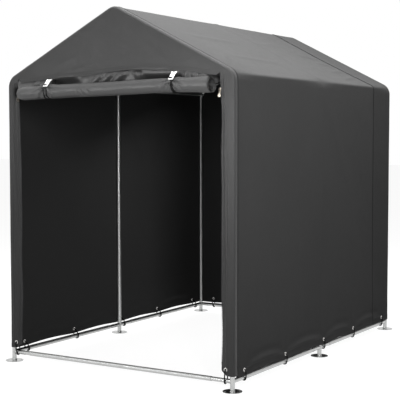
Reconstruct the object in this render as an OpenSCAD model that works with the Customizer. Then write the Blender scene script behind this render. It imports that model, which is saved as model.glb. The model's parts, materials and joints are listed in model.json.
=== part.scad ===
// Portable bike shelter: a bolt-free tube frame of three arches under a fabric cover.
// Millimetres. X across, Y to the rear, Z up, the ground at Z = 0.

/* [Frame] */
// Distance between the left and right post axes
post_span = 1426; // [1000:2:2400]
// Distance between neighbouring arches
bay_len = 1015; // [700:5:1600]
// Height where a post axis meets its rafter axis
eave_h = 1580; // [1300:5:1800]
// Rise of the rafter axes from the eave to the ridge
roof_rise = 361; // [200:1:700]
// Height of the base rail axes
rail_h = 52; // [45:1:90]

/* [Tube] */
// Outer diameter of posts, rafters, purlins and rails
tube_d = 25; // [22:0.5:30]
// Wall of those tubes
tube_wall = 1; // [0.8:0.1:2]
// Clearance on the radius between a connector and the tube over it
slip = 0.3; // [0.1:0.05:0.5]
// Wall of the connector tubes
spigot_wall = 1.2; // [1:0.1:2]
// How far a connector reaches into a tube
lap = 60; // [30:5:100]
// Bend radius of the connectors, on the axis
bend_r = 62; // [45:1:90]
// Swell of the connector tube at a bend, on the diameter
bend_swell = 0.4; // [0.2:0.1:0.6]

/* [Connectors] */
// From a post axis to the end of the base rail
arm_len = 120; // [60:5:180]
// From the eave corner to the ends of the post and the rafter
eave_leg = 180; // [120:5:240]
// From the ridge corner to the ends of the rafters
ridge_leg = 120; // [80:5:160]
// From an arch to the end of the purlin
stub_len = 70; // [40:5:120]

/* [Feet] */
// Diameter of the round base plate
plate_d = 100; // [80:2:140]
// Thickness of the base plate
plate_t = 3; // [2:0.5:6]
// How far the socket rises over the arm axes
socket_rise = 20; // [16:1:40]
// Diameter of the anchor holes
anchor_d = 9; // [6:0.5:12]
// Circle through the anchor holes
anchor_pcd = 76; // [60:1:84]
// Number of anchor holes
anchors = 4; // [4:4:8]

/* [Cover] */
// Thickness of the fabric with its coating
cover_t = 1.5; // [1:0.1:3]
// Clearance between the fabric and what it lies on
cover_gap = 0.3; // [0.2:0.05:0.8]
// Height of the side and rear hems over the rail axes
hem_rise = 14; // [8:1:40]
// Height of the hems beside the doorway over the rail axes
front_hem_rise = 26; // [8:1:60]
// From a front post axis to the edge of the doorway
strip_w = 62; // [45:1:200]
// Round of the hem's corners beside the doorway
corner_r = 26; // [4:1:40]
// Height of the seam under the front gable over the eave corner
gable_rise = 10; // [0:1:60]

/* [Rolled door] */
// Diameter of the roll
roll_d = 76; // [50:1:110]
// From the edge of the doorway to the end of the roll
roll_short = 36; // [20:1:100]
// From the gable seam down to the roll axis
roll_drop = 73; // [60:1:120]
// Step where the roll's outer turn leaves it
roll_step = 3; // [1:0.5:6]
// Diameter of the open core at the roll's ends
core_d = 30; // [16:1:34]
// Depth of the open core
core_deep = 90; // [20:5:200]
// From the middle to the left tie
tie_left = 405; // [150:5:560]
// From the middle to the right tie
tie_right = 400; // [150:5:560]
// Diameter of the elastic in ties and hem loops
cord_d = 5; // [3:0.5:7]
// Width of a toggle at its flared end
toggle_w = 30; // [24:1:45]
// Width of a toggle at its slotted foot
toggle_neck = 23; // [18:1:24]
// Length of a toggle
toggle_len = 54; // [40:1:70]
// Thickness of a toggle
toggle_t = 5; // [3:0.5:8]
// Plastic left round the slot of a toggle
toggle_rim = 4; // [2.5:0.5:5]
// Where the toggles lie on the roll, up from its front
toggle_up = 55; // [40:1:70]

/* [Eyelets and zips] */
// Flange diameter of an eyelet
eyelet_d = 21; // [18:0.5:32]
// Bore of an eyelet
eyelet_bore = 12; // [11:0.5:15]
// Metal thickness of an eyelet
eyelet_t = 0.8; // [0.5:0.1:1.2]
// Height of the eyelets over the side and rear hems
eyelet_rise = 28; // [20:1:40]
// From the end posts to the first and last side eyelet
eyelet_inset = 100; // [70:5:160]
// Eyelets along one side
side_eyelets = 5; // [3:2:9]
// How far the middle side eyelet stands behind the middle post
eyelet_dodge = 30; // [25:1:60]
// Eyelets along the rear
rear_eyelets = 4; // [2:2:8]
// From a front post axis to the eyelet beside it
front_eyelet_in = 30; // [26:1:40]
// Length of a zip pull
pull_len = 41; // [30:1:50]
// Width of a zip pull at its lower end
pull_w = 17; // [10:0.5:20]
// Thickness of a zip pull
pull_t = 2; // [1:0.5:3]
// Width of a zip slider
slider_w = 12; // [8:0.5:16]
// Length of a zip slider
slider_len = 20; // [14:1:26]
// Thickness of a zip slider
slider_t = 6; // [4:0.5:8]
// From the roll axis down to the foot of the zip sliders
slider_drop = 27; // [10:1:120]

/* [Hidden] */
$fn = 48;
arc_steps = 8;
cut = 1;
seat = 0.2;
bite = 2;
ridge_h = eave_h + roof_rise;
hem_h = rail_h + hem_rise;
front_hem_h = rail_h + front_hem_rise;
gable_h = eave_h + gable_rise;
roll_h = gable_h - roll_drop;
slider_h = roll_h - slider_drop;
half_span = post_span / 2;
roll_len = post_span - 2 * strip_w - 2 * roll_short;
tie_x = [-tie_left, tie_right];
tube_r = tube_d / 2;
spigot_d = tube_d - 2 * tube_wall - 2 * slip;
spigot_bore = spigot_d - 2 * spigot_wall;
pitch = atan((ridge_h - eave_h) / half_span);
slope_len = half_span / cos(pitch);
eave_turn = 90 - pitch;
eave_tan = bend_r * tan(eave_turn / 2);
ridge_tan = bend_r * tan(pitch);
eave_centre = [half_span - bend_r, eave_h - eave_tan];
ridge_centre = [0, ridge_h - bend_r / cos(pitch)];
eave_mid = eave_centre + bend_r * [cos(eave_turn / 2), sin(eave_turn / 2)];
ridge_mid = ridge_centre + [0, bend_r];
socket_h = rail_h + socket_rise;
post_top = eave_h - eave_leg;
skin_in = tube_r + cover_gap;
skin_out = skin_in + cover_t;
roll_off = skin_out + roll_d / 2 - seat;
tie_r = roll_d / 2 + cover_gap + cord_d / 2;
front_reach = bay_len + roll_off + tie_r + cord_d / 2;
rear_reach = bay_len + plate_d / 2;
mid_y = (front_reach - rear_reach) / 2;
front_y = mid_y - bay_len;
rear_y = mid_y + bay_len;
front_face = front_y - skin_out;
rear_face = rear_y + skin_out;
eyelet_h = hem_h + eyelet_rise;
front_eyelet_h = front_hem_h + eyelet_rise;
barrel_d = eyelet_bore + 2 * eyelet_t;
loop_off = skin_out + eyelet_t + cord_d / 2 + slip;
// Connector or tube under a loop, by its distance from the nearest post
function rail_d(away) = away < arm_len ? spigot_d : tube_d;
function from_post(y) = min([for (p = [front_y, mid_y, rear_y]) abs(y - p)]);
side_y = [for (i = [0 : side_eyelets - 1])
    front_y + eyelet_inset + i * (2 * bay_len - 2 * eyelet_inset) / (side_eyelets - 1)
    + (2 * i == side_eyelets - 1 ? eyelet_dodge : 0)];
rear_x = [for (i = [0 : rear_eyelets - 1])
    -half_span + eyelet_inset + i * (post_span - 2 * eyelet_inset) / (rear_eyelets - 1)];
front_x = [-half_span + front_eyelet_in, half_span - front_eyelet_in];

steel = [0.72, 0.73, 0.74];
fabric = [0.20, 0.20, 0.21];
plastic = [0.93, 0.93, 0.92];
elastic = [0.05, 0.05, 0.05];

// Straight tube along Z
module tube(len) {
    difference() {
        cylinder(d = tube_d, h = len);
        translate([0, 0, -cut]) cylinder(d = tube_d - 2 * tube_wall, h = len + 2 * cut);
    }
}

// Tube between two arches along Y, short of each by the given length
module tube_along(x, z, y_from, y_to, short) {
    translate([x, y_from + short, z]) rotate([-90, 0, 0]) tube(y_to - y_from - 2 * short);
}

// Foot: plate, socket with its spigot, and one arm for each heading
module foot(x, y, arms) {
    color(steel) translate([x, y, 0]) difference() {
        union() {
            cylinder(d = plate_d, h = plate_t);
            cylinder(d = tube_d, h = socket_h);
            cylinder(d = spigot_d, h = socket_h + lap);
            for (a = arms) arm_solid(a, 0, spigot_d, arm_len + lap);
        }
        translate([0, 0, plate_t]) cylinder(d = spigot_bore, h = socket_h + lap);
        for (a = arms) arm_solid(a, tube_r, spigot_bore, arm_len + lap);
        for (i = [0 : anchors - 1])
            rotate([0, 0, (i + 0.5) * 360 / anchors]) translate([anchor_pcd / 2, 0, -cut])
                cylinder(d = anchor_d, h = plate_t + 2 * cut);
    }
}

module arm_solid(heading, from, d, len) {
    translate([0, 0, rail_h]) rotate([0, 0, heading]) rotate([0, 90, 0])
        translate([0, 0, from]) cylinder(d = d, h = len);
}

module post(x, y) {
    color(steel) translate([x, y, socket_h]) tube(post_top - socket_h);
}

module rail_across(y) {
    color(steel) translate([arm_len - half_span, y, rail_h]) rotate([0, 90, 0])
        tube(post_span - 2 * arm_len);
}

module rails_along(x) {
    color(steel) {
        tube_along(x, rail_h, front_y, mid_y, arm_len);
        tube_along(x, rail_h, mid_y, rear_y, arm_len);
    }
}

// Solid bend in the XZ plane about a centre, from one angle through a turn
module bend(centre, from, turn, d) {
    translate([centre[0], 0, centre[1]]) rotate([90, 0, 0]) rotate([0, 0, from])
        rotate_extrude(angle = turn) translate([bend_r, 0]) circle(d = d + bend_swell);
}

// Path of one eave connector on the right, as a solid of the given diameter
module eave_path(d, more) {
    leg = eave_leg + lap + more - eave_tan + bite;
    translate([half_span, 0, post_top - lap - more]) cylinder(d = d, h = leg);
    bend(eave_centre, 0, eave_turn, d);
    translate([half_span, 0, eave_h]) rotate([0, -eave_turn, 0])
        translate([0, 0, eave_tan - bite]) cylinder(d = d, h = leg);
}

// Stubs that carry purlins, at a point of a bend
module stubs(at, headings, from, d, more) {
    for (s = headings)
        translate([at[0], 0, at[1]]) rotate([-90 * s, 0, 0]) translate([0, 0, from])
            cylinder(d = d, h = stub_len + lap + more - from);
}

module eave_elbow(headings) {
    difference() {
        union() {
            eave_path(spigot_d, 0);
            stubs(eave_mid, headings, 0, spigot_d, 0);
        }
        eave_path(spigot_bore, cut);
        stubs(eave_mid, headings, spigot_d / 2, spigot_bore, cut);
    }
}

module eave_elbows(y, headings) {
    color(steel) translate([0, y, 0]) {
        eave_elbow(headings);
        mirror([1, 0, 0]) eave_elbow(headings);
    }
}

// Path of a ridge connector, as a solid of the given diameter
module ridge_path(d, more) {
    leg = ridge_leg + lap + more - ridge_tan + bite;
    bend(ridge_centre, eave_turn, 2 * pitch, d);
    for (s = [-1, 1])
        translate([0, 0, ridge_h]) rotate([0, s * (90 + pitch), 0])
            translate([0, 0, ridge_tan - bite]) cylinder(d = d, h = leg);
}

module ridge_elbow(y, headings) {
    color(steel) translate([0, y, 0]) difference() {
        union() {
            ridge_path(spigot_d, 0);
            stubs(ridge_mid, headings, 0, spigot_d, 0);
        }
        ridge_path(spigot_bore, cut);
        stubs(ridge_mid, headings, spigot_d / 2, spigot_bore, cut);
    }
}

module rafters(y) {
    color(steel) for (s = [-1, 1])
        translate([s * half_span, y, eave_h]) rotate([0, -s * eave_turn, 0])
            translate([0, 0, eave_leg]) tube(slope_len - eave_leg - ridge_leg);
}

module purlins(at, s) {
    color(steel) {
        tube_along(s * at[0], at[1], front_y, mid_y, stub_len);
        tube_along(s * at[0], at[1], mid_y, rear_y, stub_len);
    }
}

// Points of an arc in the XZ plane
function arc(centre, r, a0, a1) = [for (i = [0 : arc_steps])
    let (a = a0 + (a1 - a0) * i / arc_steps) centre + r * [cos(a), sin(a)]];

// Right half of the roof line at a distance outside the tube axes, eave to ridge
function roof_line(off) = concat(
    arc(eave_centre, bend_r + off, 0, eave_turn),
    arc(ridge_centre, bend_r + off, eave_turn, 90));

function reversed(p) = [for (i = [len(p) - 1 : -1 : 0]) p[i]];
function mirrored(p) = [for (q = p) [-q[0], q[1]]];

// Whole outline of an arch above a height, at a distance outside the tube axes
function arch_area(off, z) = concat(
    [[half_span + off, z]], roof_line(off),
    reversed(mirrored(roof_line(off))), [[-half_span - off, z]]);

// Outline in the XZ plane made into a sheet along Y
module sheet(points, y_from, y_to) {
    translate([0, y_to, 0]) rotate([90, 0, 0]) linear_extrude(height = y_to - y_from) polygon(points);
}

// Hole for an eyelet through a wall that faces along Y or along X
module eyelet_hole(at, heading) {
    translate(at) rotate([0, 0, heading]) rotate([90, 0, 0])
        cylinder(d = barrel_d + 2 * seat, h = 4 * skin_out, center = true);
}

module side_wall(s) {
    color(fabric) difference() {
        translate([s > 0 ? half_span + skin_in : -half_span - skin_out, front_face, hem_h])
            cube([cover_t, rear_face - front_face, eave_centre[1] - hem_h]);
        for (y = side_y) eyelet_hole([s * (half_span + skin_in), y, eyelet_h], 90);
    }
}

module roof(s) {
    color(fabric) mirror([s > 0 ? 0 : 1, 0, 0])
        sheet(concat(roof_line(skin_out), reversed(roof_line(skin_in))), front_face, rear_face);
}

module rear_wall() {
    color(fabric) difference() {
        sheet(arch_area(skin_in - seat, hem_h), rear_face - cover_t, rear_face);
        for (x = rear_x) eyelet_hole([x, rear_face, eyelet_h], 0);
    }
}

module front_gable() {
    color(fabric) intersection() {
        sheet(arch_area(skin_in - seat, hem_h), front_face, front_face + cover_t);
        translate([-post_span, front_face - cut, gable_h]) cube([2 * post_span, cover_t + 2 * cut, ridge_h]);
    }
}

module front_strip(s) {
    wide = strip_w + skin_in - seat;
    color(fabric) difference() {
        intersection() {
            sheet(arch_area(skin_in - seat, front_hem_h), front_face, front_face + cover_t);
            translate([s > 0 ? half_span - strip_w : -half_span + strip_w - wide, front_face - cut, 0])
                cube([wide, cover_t + 2 * cut, gable_h]);
        }
        eyelet_hole([s * (half_span - front_eyelet_in), front_face, front_eyelet_h], 0);
        mirror([s > 0 ? 0 : 1, 0, 0]) hem_corner();
    }
}

// What the round takes off the inner corner of the right strip's hem
module hem_corner() {
    translate([half_span - strip_w, front_face - cut, front_hem_h]) difference() {
        translate([-cut, 0, -cut]) cube([corner_r + cut, cover_t + 2 * cut, corner_r + cut]);
        translate([corner_r, -cut, corner_r]) rotate([-90, 0, 0]) cylinder(r = corner_r, h = cover_t + 4 * cut);
    }
}

// Door rolled up on its bottom edge, with the head strip that hangs from the gable seam
module rolled_door() {
    turn = [for (a = [0 : 15 : 360]) (roll_d / 2 - roll_step * (1 - a / 360)) * [cos(a), sin(a)]];
    foot = roll_h - 2 * roll_step;
    color(fabric) {
        translate([-roll_len / 2, front_y - roll_off, roll_h]) rotate([90, 0, 90]) difference() {
            linear_extrude(height = roll_len) polygon(turn);
            for (end = [-cut, roll_len - core_deep])
                translate([0, 0, end]) cylinder(d = core_d, h = core_deep + cut);
        }
        translate([-roll_len / 2, front_face, foot]) cube([roll_len, cover_t, gable_h - foot]);
    }
}

// Elastic over the top, front and underside of the roll
module roll_ties() {
    color(elastic) for (x = tie_x)
        translate([x, front_y - roll_off, roll_h]) rotate([0, 0, 90]) rotate([90, 0, 0])
            rotate([0, 0, 75]) rotate_extrude(angle = 235) translate([tie_r, 0]) circle(d = cord_d);
}

// Flared tabs that lie on the ties and lean back over the roll, slotted from the side for the tie
module roll_toggles() {
    end_r = toggle_neck / 5;
    slot_w = toggle_neck - 2 * toggle_rim;
    slot_len = 2 * cord_d;
    foot = -slot_len / 2 - toggle_rim;
    top = foot + toggle_len;
    color(plastic) for (x = tie_x)
        translate([x, front_y - roll_off, roll_h]) rotate([90 - toggle_up, 0, 0])
            translate([0, 0, tie_r + cord_d / 2 + seat]) difference() {
                hull() for (s = [-1, 1]) {
                    translate([s * (toggle_neck / 2 - end_r), foot + end_r, 0])
                        cylinder(r = end_r, h = toggle_t, $fn = 32);
                    translate([s * (toggle_w / 2 - end_r), top - end_r, 0])
                        cylinder(r = end_r, h = toggle_t, $fn = 32);
                }
                translate([-toggle_w, -slot_len / 2, -cut])
                    cube([toggle_w + slot_w / 2, slot_len, toggle_t + 2 * cut]);
                translate([0, top + toggle_w * cos(30), -cut]) cylinder(r = toggle_w, h = toggle_t + 2 * cut);
            }
}

// Slider on the edge of each strip, narrower at its foot
module zip_slider() {
    foot_w = slider_w * 0.6;
    rotate([90, 0, 0]) linear_extrude(height = slider_t)
        polygon([[-foot_w / 2, 0], [foot_w / 2, 0], [slider_w / 2, slider_len / 2],
                 [slider_w / 2, slider_len], [-slider_w / 2, slider_len], [-slider_w / 2, slider_len / 2]]);
}

// Bell-shaped tag that hangs from its narrow end, with a hole at the wide one
module zip_pull() {
    neck_d = pull_w / 2;
    bell = (pull_w + neck_d) / 2 - pull_len;
    rotate([90, 0, 0]) difference() {
        hull() {
            cylinder(d = neck_d, h = pull_t, $fn = 32);
            translate([0, bell, 0]) cylinder(d = pull_w, h = pull_t, $fn = 32);
        }
        translate([0, bell, -cut]) cylinder(d = pull_w / 3, h = pull_t + 2 * cut);
    }
}

module zip_pulls() {
    color(steel) for (s = [-1, 1])
        translate([s * (half_span - strip_w + slider_w / 2), front_face - seat, slider_h]) {
            zip_slider();
            translate([0, -slider_t, slider_len / 2]) zip_pull();
        }
}

// Eyelet through a wall: a barrel between two flanges, its axis along Y turned by a heading
module eyelet(at, heading) {
    translate(at) rotate([0, 0, heading]) rotate([90, 0, 0]) difference() {
        union() {
            cylinder(d = barrel_d, h = cover_t);
            translate([0, 0, cover_t]) cylinder(d = eyelet_d, h = eyelet_t);
            translate([0, 0, -eyelet_t]) cylinder(d = eyelet_d, h = eyelet_t);
        }
        translate([0, 0, -cut - eyelet_t]) cylinder(d = eyelet_bore, h = cover_t + 2 * eyelet_t + 2 * cut);
    }
}

module eyelets() {
    color(steel) {
        for (y = side_y) {
            eyelet([half_span + skin_in, y, eyelet_h], 90);
            eyelet([-half_span - skin_in, y, eyelet_h], -90);
        }
        for (x = front_x) eyelet([x, front_y - skin_in, front_eyelet_h], 0);
        for (x = rear_x) eyelet([x, rear_y + skin_in, eyelet_h], 180);
    }
}

// Elastic loop through an eyelet and under the rail, in a plane across the rail
module hem_loop(at, heading, top, round_d) {
    low = rail_h - round_d / 2 - slip - cord_d / 2 + loop_off;
    high = top - sqrt(pow(loop_off, 2) - pow(skin_in + cover_t / 2, 2));
    translate([at[0], at[1], 0]) rotate([0, 0, heading]) {
        translate([0, 0, low]) rotate([90, 0, 0]) rotate([0, 0, 180]) half_ring();
        translate([0, 0, high]) rotate([90, 0, 0]) half_ring();
        for (s = [-1, 1]) translate([s * loop_off, 0, low]) cylinder(d = cord_d, h = high - low);
    }
}

module half_ring() {
    rotate_extrude(angle = 180) translate([loop_off, 0]) circle(d = cord_d);
}

module hem_loops() {
    color(elastic) {
        for (y = side_y, s = [-1, 1])
            hem_loop([s * half_span, y], 0, eyelet_h, rail_d(from_post(y)));
        for (x = front_x) hem_loop([x, front_y], 90, front_eyelet_h, rail_d(half_span - abs(x)));
        for (x = rear_x) hem_loop([x, rear_y], 90, eyelet_h, rail_d(half_span - abs(x)));
    }
}

foot(-half_span, front_y, [0, 90]);  // foot_front_left
foot(half_span, front_y, [180, 90]);  // foot_front_right
foot(-half_span, mid_y, [90, -90]);  // foot_middle_left
foot(half_span, mid_y, [90, -90]);  // foot_middle_right
foot(-half_span, rear_y, [0, -90]);  // foot_rear_left
foot(half_span, rear_y, [180, -90]);  // foot_rear_right
post(-half_span, front_y);  // post_front_left
post(half_span, front_y);  // post_front_right
post(-half_span, mid_y);  // post_middle_left
post(half_span, mid_y);  // post_middle_right
post(-half_span, rear_y);  // post_rear_left
post(half_span, rear_y);  // post_rear_right
rail_across(front_y);  // base_rail_front
rail_across(rear_y);  // base_rail_rear
rails_along(-half_span);  // base_rails_left
rails_along(half_span);  // base_rails_right
eave_elbows(front_y, [1]);  // eave_elbows_front
eave_elbows(mid_y, [-1, 1]);  // eave_elbows_middle
eave_elbows(rear_y, [-1]);  // eave_elbows_rear
rafters(front_y);  // rafters_front
rafters(mid_y);  // rafters_middle
rafters(rear_y);  // rafters_rear
ridge_elbow(front_y, [1]);  // ridge_elbow_front
ridge_elbow(mid_y, [-1, 1]);  // ridge_elbow_middle
ridge_elbow(rear_y, [-1]);  // ridge_elbow_rear
purlins(eave_mid, -1);  // eave_purlins_left
purlins(eave_mid, 1);  // eave_purlins_right
purlins(ridge_mid, 1);  // ridge_purlins
side_wall(-1);  // side_wall_left
side_wall(1);  // side_wall_right
roof(-1);  // roof_left
roof(1);  // roof_right
rear_wall();
front_gable();
front_strip(-1);  // front_strip_left
front_strip(1);  // front_strip_right
rolled_door();
roll_ties();
roll_toggles();
zip_pulls();
eyelets();
hem_loops();
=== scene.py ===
import json
import math

import bmesh
import bpy
import numpy as np
from mathutils import Matrix, Vector, noise

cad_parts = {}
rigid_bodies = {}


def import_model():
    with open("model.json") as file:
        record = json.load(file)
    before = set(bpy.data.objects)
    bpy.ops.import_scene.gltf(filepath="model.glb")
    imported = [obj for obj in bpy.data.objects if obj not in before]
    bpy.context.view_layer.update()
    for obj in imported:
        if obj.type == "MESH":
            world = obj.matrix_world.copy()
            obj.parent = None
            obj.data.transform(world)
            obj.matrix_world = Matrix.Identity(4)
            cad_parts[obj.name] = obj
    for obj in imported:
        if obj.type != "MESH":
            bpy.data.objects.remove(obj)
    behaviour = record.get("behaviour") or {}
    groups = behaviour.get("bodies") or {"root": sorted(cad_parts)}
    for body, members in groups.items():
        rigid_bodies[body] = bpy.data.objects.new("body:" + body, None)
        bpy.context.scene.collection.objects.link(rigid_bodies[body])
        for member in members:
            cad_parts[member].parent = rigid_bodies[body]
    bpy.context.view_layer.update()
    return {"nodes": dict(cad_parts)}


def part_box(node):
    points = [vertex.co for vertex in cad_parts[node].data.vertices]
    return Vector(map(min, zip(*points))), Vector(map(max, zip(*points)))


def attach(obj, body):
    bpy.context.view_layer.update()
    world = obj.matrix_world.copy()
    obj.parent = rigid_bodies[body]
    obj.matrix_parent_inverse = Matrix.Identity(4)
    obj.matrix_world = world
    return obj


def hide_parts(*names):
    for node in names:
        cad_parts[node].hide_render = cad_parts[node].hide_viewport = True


for old in list(bpy.data.objects):
    bpy.data.objects.remove(old)
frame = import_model()
scene = bpy.context.scene
print("frame loaded,", len(frame["nodes"]), "nodes")


# places taken from the steel frame
def middle(node):
    low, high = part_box(node)
    return (low + high) / 2


span = middle("post_front_right").x  # half the distance between the posts
frontY, midY, rearY = (middle("post_%s_right" % name).y for name in ("front", "middle", "rear"))
tubeR = (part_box("post_front_right")[1].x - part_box("post_front_right")[0].x) / 2
railZ = middle("base_rail_front").z
eave = middle("eave_purlins_right")
ridge = middle("ridge_purlins")
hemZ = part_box("side_wall_right")[0].z
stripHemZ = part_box("front_strip_right")[0].z
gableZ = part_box("front_gable")[0].z
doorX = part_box("front_strip_right")[0].x
rollLow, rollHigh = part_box("rolled_door")

cloth = {
    "thick": 0.0009,
    "off": 0.0140,  # outer face of the main cover from the tube axes
    "capOff": 0.0152,  # outer face of the sheets that lie over it
    "bendR": 0.062,  # bend of the eave and ridge connectors
    "archReach": 0.14,  # how far from an arch the rounded eave fades out
    "rearSeam": 0.249,  # rear seam in front of the rear arch
}
bendR = cloth["bendR"]
phi = 2 * math.acos((eave.x - span + bendR) / bendR)
eaveC = np.array([span - bendR, eave.z - bendR * math.sin(phi / 2)])
ridgeC = np.array([0.0, ridge.z - bendR])
seamY = rearY - cloth["rearSeam"]


# small geometry helpers
def spread(low, high, step, fixed=()):
    marks = [low] + sorted(f for f in fixed if low + 1e-4 < f < high - 1e-4) + [high]
    out = []
    for a, b in zip(marks, marks[1:]):
        count = max(1, math.ceil((b - a) / step - 1e-6))
        out += [a + (b - a) * k / count for k in range(count)]
    return np.array(out + [high])


def smooth(low, high, value):
    t = np.clip((value - low) / (high - low), 0, 1)
    return t * t * (3 - 2 * t)


def arcPoints(centre, radius, start, end, count=20):
    a = np.linspace(start, end, count)
    return np.stack([centre[0] + radius * np.cos(a), centre[1] + radius * np.sin(a)], -1)


def lengths(line):
    steps = np.linalg.norm(np.diff(line, axis=0), axis=1)
    return np.concatenate([[0], np.cumsum(steps)])


def resample(line, fractions):
    run = lengths(line)
    at = np.asarray(fractions) * run[-1]
    return np.stack([np.interp(at, run, line[:, k]) for k in range(line.shape[1])], -1)


def rough(points, scale, seed, octaves=3):
    flat = points.reshape(-1, 3)
    move = Vector((seed * 7.31, seed * 3.77, seed * 5.13))
    values = [noise.fractal(Vector(p) * scale + move, 0.9, 2.1, octaves) for p in flat]
    return np.array(values).reshape(points.shape[:2])


def crease(y, h, start, end, wide, high):
    # a soft fold that runs from start to end on the sheet and fades at both ends
    ay, ah = start
    dy, dh = end[0] - ay, end[1] - ah
    t = np.clip(((y - ay) * dy + (h - ah) * dh) / (dy * dy + dh * dh), 0, 1)
    away = np.hypot(y - ay - t * dy, h - ah - t * dh)
    return high * np.exp(-(away / wide) ** 2) * np.sqrt(np.sin(np.pi * np.clip(t, 0.02, 0.98)))


def sheetNormals(points):
    n = np.cross(np.gradient(points, axis=0), np.gradient(points, axis=1))
    return n / np.maximum(np.linalg.norm(n, axis=2, keepdims=True), 1e-9)


def linkPiece(name, mesh):
    piece = bpy.data.objects.new(name, mesh)
    scene.collection.objects.link(piece)
    return piece


def applyModifiers(piece):
    bpy.context.view_layer.update()
    made = bpy.data.meshes.new_from_object(piece.evaluated_get(bpy.context.evaluated_depsgraph_get()))
    old = piece.data
    piece.modifiers.clear()
    piece.data = made
    if old.users == 0 and isinstance(old, bpy.types.Mesh):
        bpy.data.meshes.remove(old)
    made.name = piece.name
    return piece


def dress(piece, slot, *nodes):
    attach(piece, "root")
    if nodes:
        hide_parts(*nodes)
    return piece


def clothSheet(name, points, outward, skip=None, thick=cloth["thick"], weld=False):
    # a grid of points made into one sheet of cloth, with its weave laid out in metres
    rows, cols = points.shape[:2]
    index = np.arange(rows * cols).reshape(rows, cols)
    quads = np.stack([index[:-1, :-1], index[1:, :-1], index[1:, 1:], index[:-1, 1:]], -1).reshape(-1, 4)
    if skip is not None:
        quads = quads[~skip.reshape(-1)]
    flat = points.reshape(-1, 3)
    a, b, c = (flat[quads[:, k]] for k in (0, 1, 2))
    if (np.cross(b - a, c - a) * outward.reshape(-1, 3)[quads[:, 0]]).sum() < 0:
        quads = quads[:, ::-1]
    mesh = bpy.data.meshes.new(name)
    mesh.from_pydata(flat.tolist(), [], quads.tolist())
    across = lengths(points[rows // 2])
    along = lengths(points[:, cols // 2])
    grid = np.stack(np.meshgrid(across, along), -1).reshape(-1, 2)
    corner = np.zeros(len(mesh.loops), np.int32)
    mesh.loops.foreach_get("vertex_index", corner)
    mesh.uv_layers.new(name="weave").data.foreach_set("uv", grid[corner].astype(np.float32).reshape(-1))
    if weld:
        bm = bmesh.new()
        bm.from_mesh(mesh)
        bmesh.ops.remove_doubles(bm, verts=bm.verts, dist=0.0003)
        bm.to_mesh(mesh)
        bm.free()
    mesh.materials.append(coverFabric)
    # the inner face gets a darker fabric, painted shade for the dim inside of the shelter
    mesh.materials.append(coverBackingShade)
    piece = linkPiece(name, mesh)
    wall = piece.modifiers.new("thickness", "SOLIDIFY")
    wall.thickness, wall.offset = thick, -1
    wall.material_offset, wall.material_offset_rim = 1, 0
    applyModifiers(piece)
    piece.data.shade_smooth()
    piece.data.set_sharp_from_angle(angle=math.radians(50))
    return piece


def tubeMesh(name, paths, radius, material, sides=10, closed=True):
    # round cords swept along paths, with the run of the cord in the UV map
    verts, faces, uvs = [], [], []
    for path in paths:
        path = np.asarray(path, float)
        count = len(path)
        if closed:
            ahead, behind = np.roll(path, -1, 0), np.roll(path, 1, 0)
        else:
            ahead, behind = np.vstack([path[1:], path[-1:]]), np.vstack([path[:1], path[:-1]])
        tangent = ahead - behind
        tangent /= np.linalg.norm(tangent, axis=1, keepdims=True)
        normal = np.cross(tangent[0], [0.31, 0.77, 0.55])
        run = lengths(path)
        base = len(verts)
        for k in range(count):
            normal = normal - tangent[k] * normal.dot(tangent[k])
            normal /= np.linalg.norm(normal)
            other = np.cross(tangent[k], normal)
            for s in range(sides):
                a = 2 * math.pi * s / sides
                verts.append(path[k] + radius * (math.cos(a) * normal + math.sin(a) * other))
                uvs.append((run[k], s / sides * 2 * math.pi * radius))
        for k in range(count if closed else count - 1):
            ring, nextRing = base + k * sides, base + (k + 1) % count * sides
            for s in range(sides):
                m = (s + 1) % sides
                faces.append((ring + s, ring + m, nextRing + m, nextRing + s))
        if not closed:
            faces.append(tuple(base + s for s in reversed(range(sides))))
            faces.append(tuple(base + (count - 1) * sides + s for s in range(sides)))
    mesh = bpy.data.meshes.new(name)
    mesh.from_pydata([list(v) for v in verts], [], faces)
    layer = mesh.uv_layers.new(name="weave").data
    for loop in mesh.loops:
        layer[loop.index].uv = uvs[loop.vertex_index]
    bm = bmesh.new()
    bm.from_mesh(mesh)
    bmesh.ops.recalc_face_normals(bm, faces=bm.faces)
    bm.to_mesh(mesh)
    bm.free()
    mesh.materials.append(material)
    mesh.shade_smooth()
    return linkPiece(name, mesh)


# materials
def newMaterial(name):
    material = bpy.data.materials.new(name)
    material.use_nodes = True
    tree = material.node_tree
    return material, tree, tree.nodes["Principled BSDF"]


def addNode(tree, kind, **values):
    node = tree.nodes.new(kind)
    for key, value in values.items():
        if key in node.inputs:
            node.inputs[key].default_value = value
        else:
            setattr(node, key, value)
    return node


def rampNode(tree, source, stops):
    ramp = tree.nodes.new("ShaderNodeValToRGB")
    ramp.color_ramp.elements[0].position, ramp.color_ramp.elements[1].position = stops[0][0], stops[-1][0]
    for stop in stops[1:-1]:
        ramp.color_ramp.elements.new(stop[0])
    for element, stop in zip(ramp.color_ramp.elements, stops):
        value = stop[1]
        element.color = (*value, 1) if hasattr(value, "__len__") else (value, value, value, 1)
    tree.links.new(source, ramp.inputs["Fac"])
    return ramp.outputs["Color"]


def bumpChain(tree, shader, layers):
    last = None
    for height, strength, distance in layers:
        bump = addNode(tree, "ShaderNodeBump", Strength=strength, Distance=distance)
        tree.links.new(height, bump.inputs["Height"])
        if last:
            tree.links.new(last, bump.inputs["Normal"])
        last = bump.outputs["Normal"]
    tree.links.new(last, shader.inputs["Normal"])


fabricLook = {
    "tone": 0.072,  # grey of the coated outer face
    "backShadeTone": 0.050,  # grey of the inner face, darker than the outer face: painted shade for the dim inside
    "doorTone": 0.052,  # grey of the door's face that the roll shows
    "endShare": 0.90,  # the end sheets are a little darker than the main cover
    "thread": 0.0015,  # pitch of the weave
    "rough": 0.58,
    "specular": 0.009,  # the coating shines only at grazing angles
}


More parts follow.
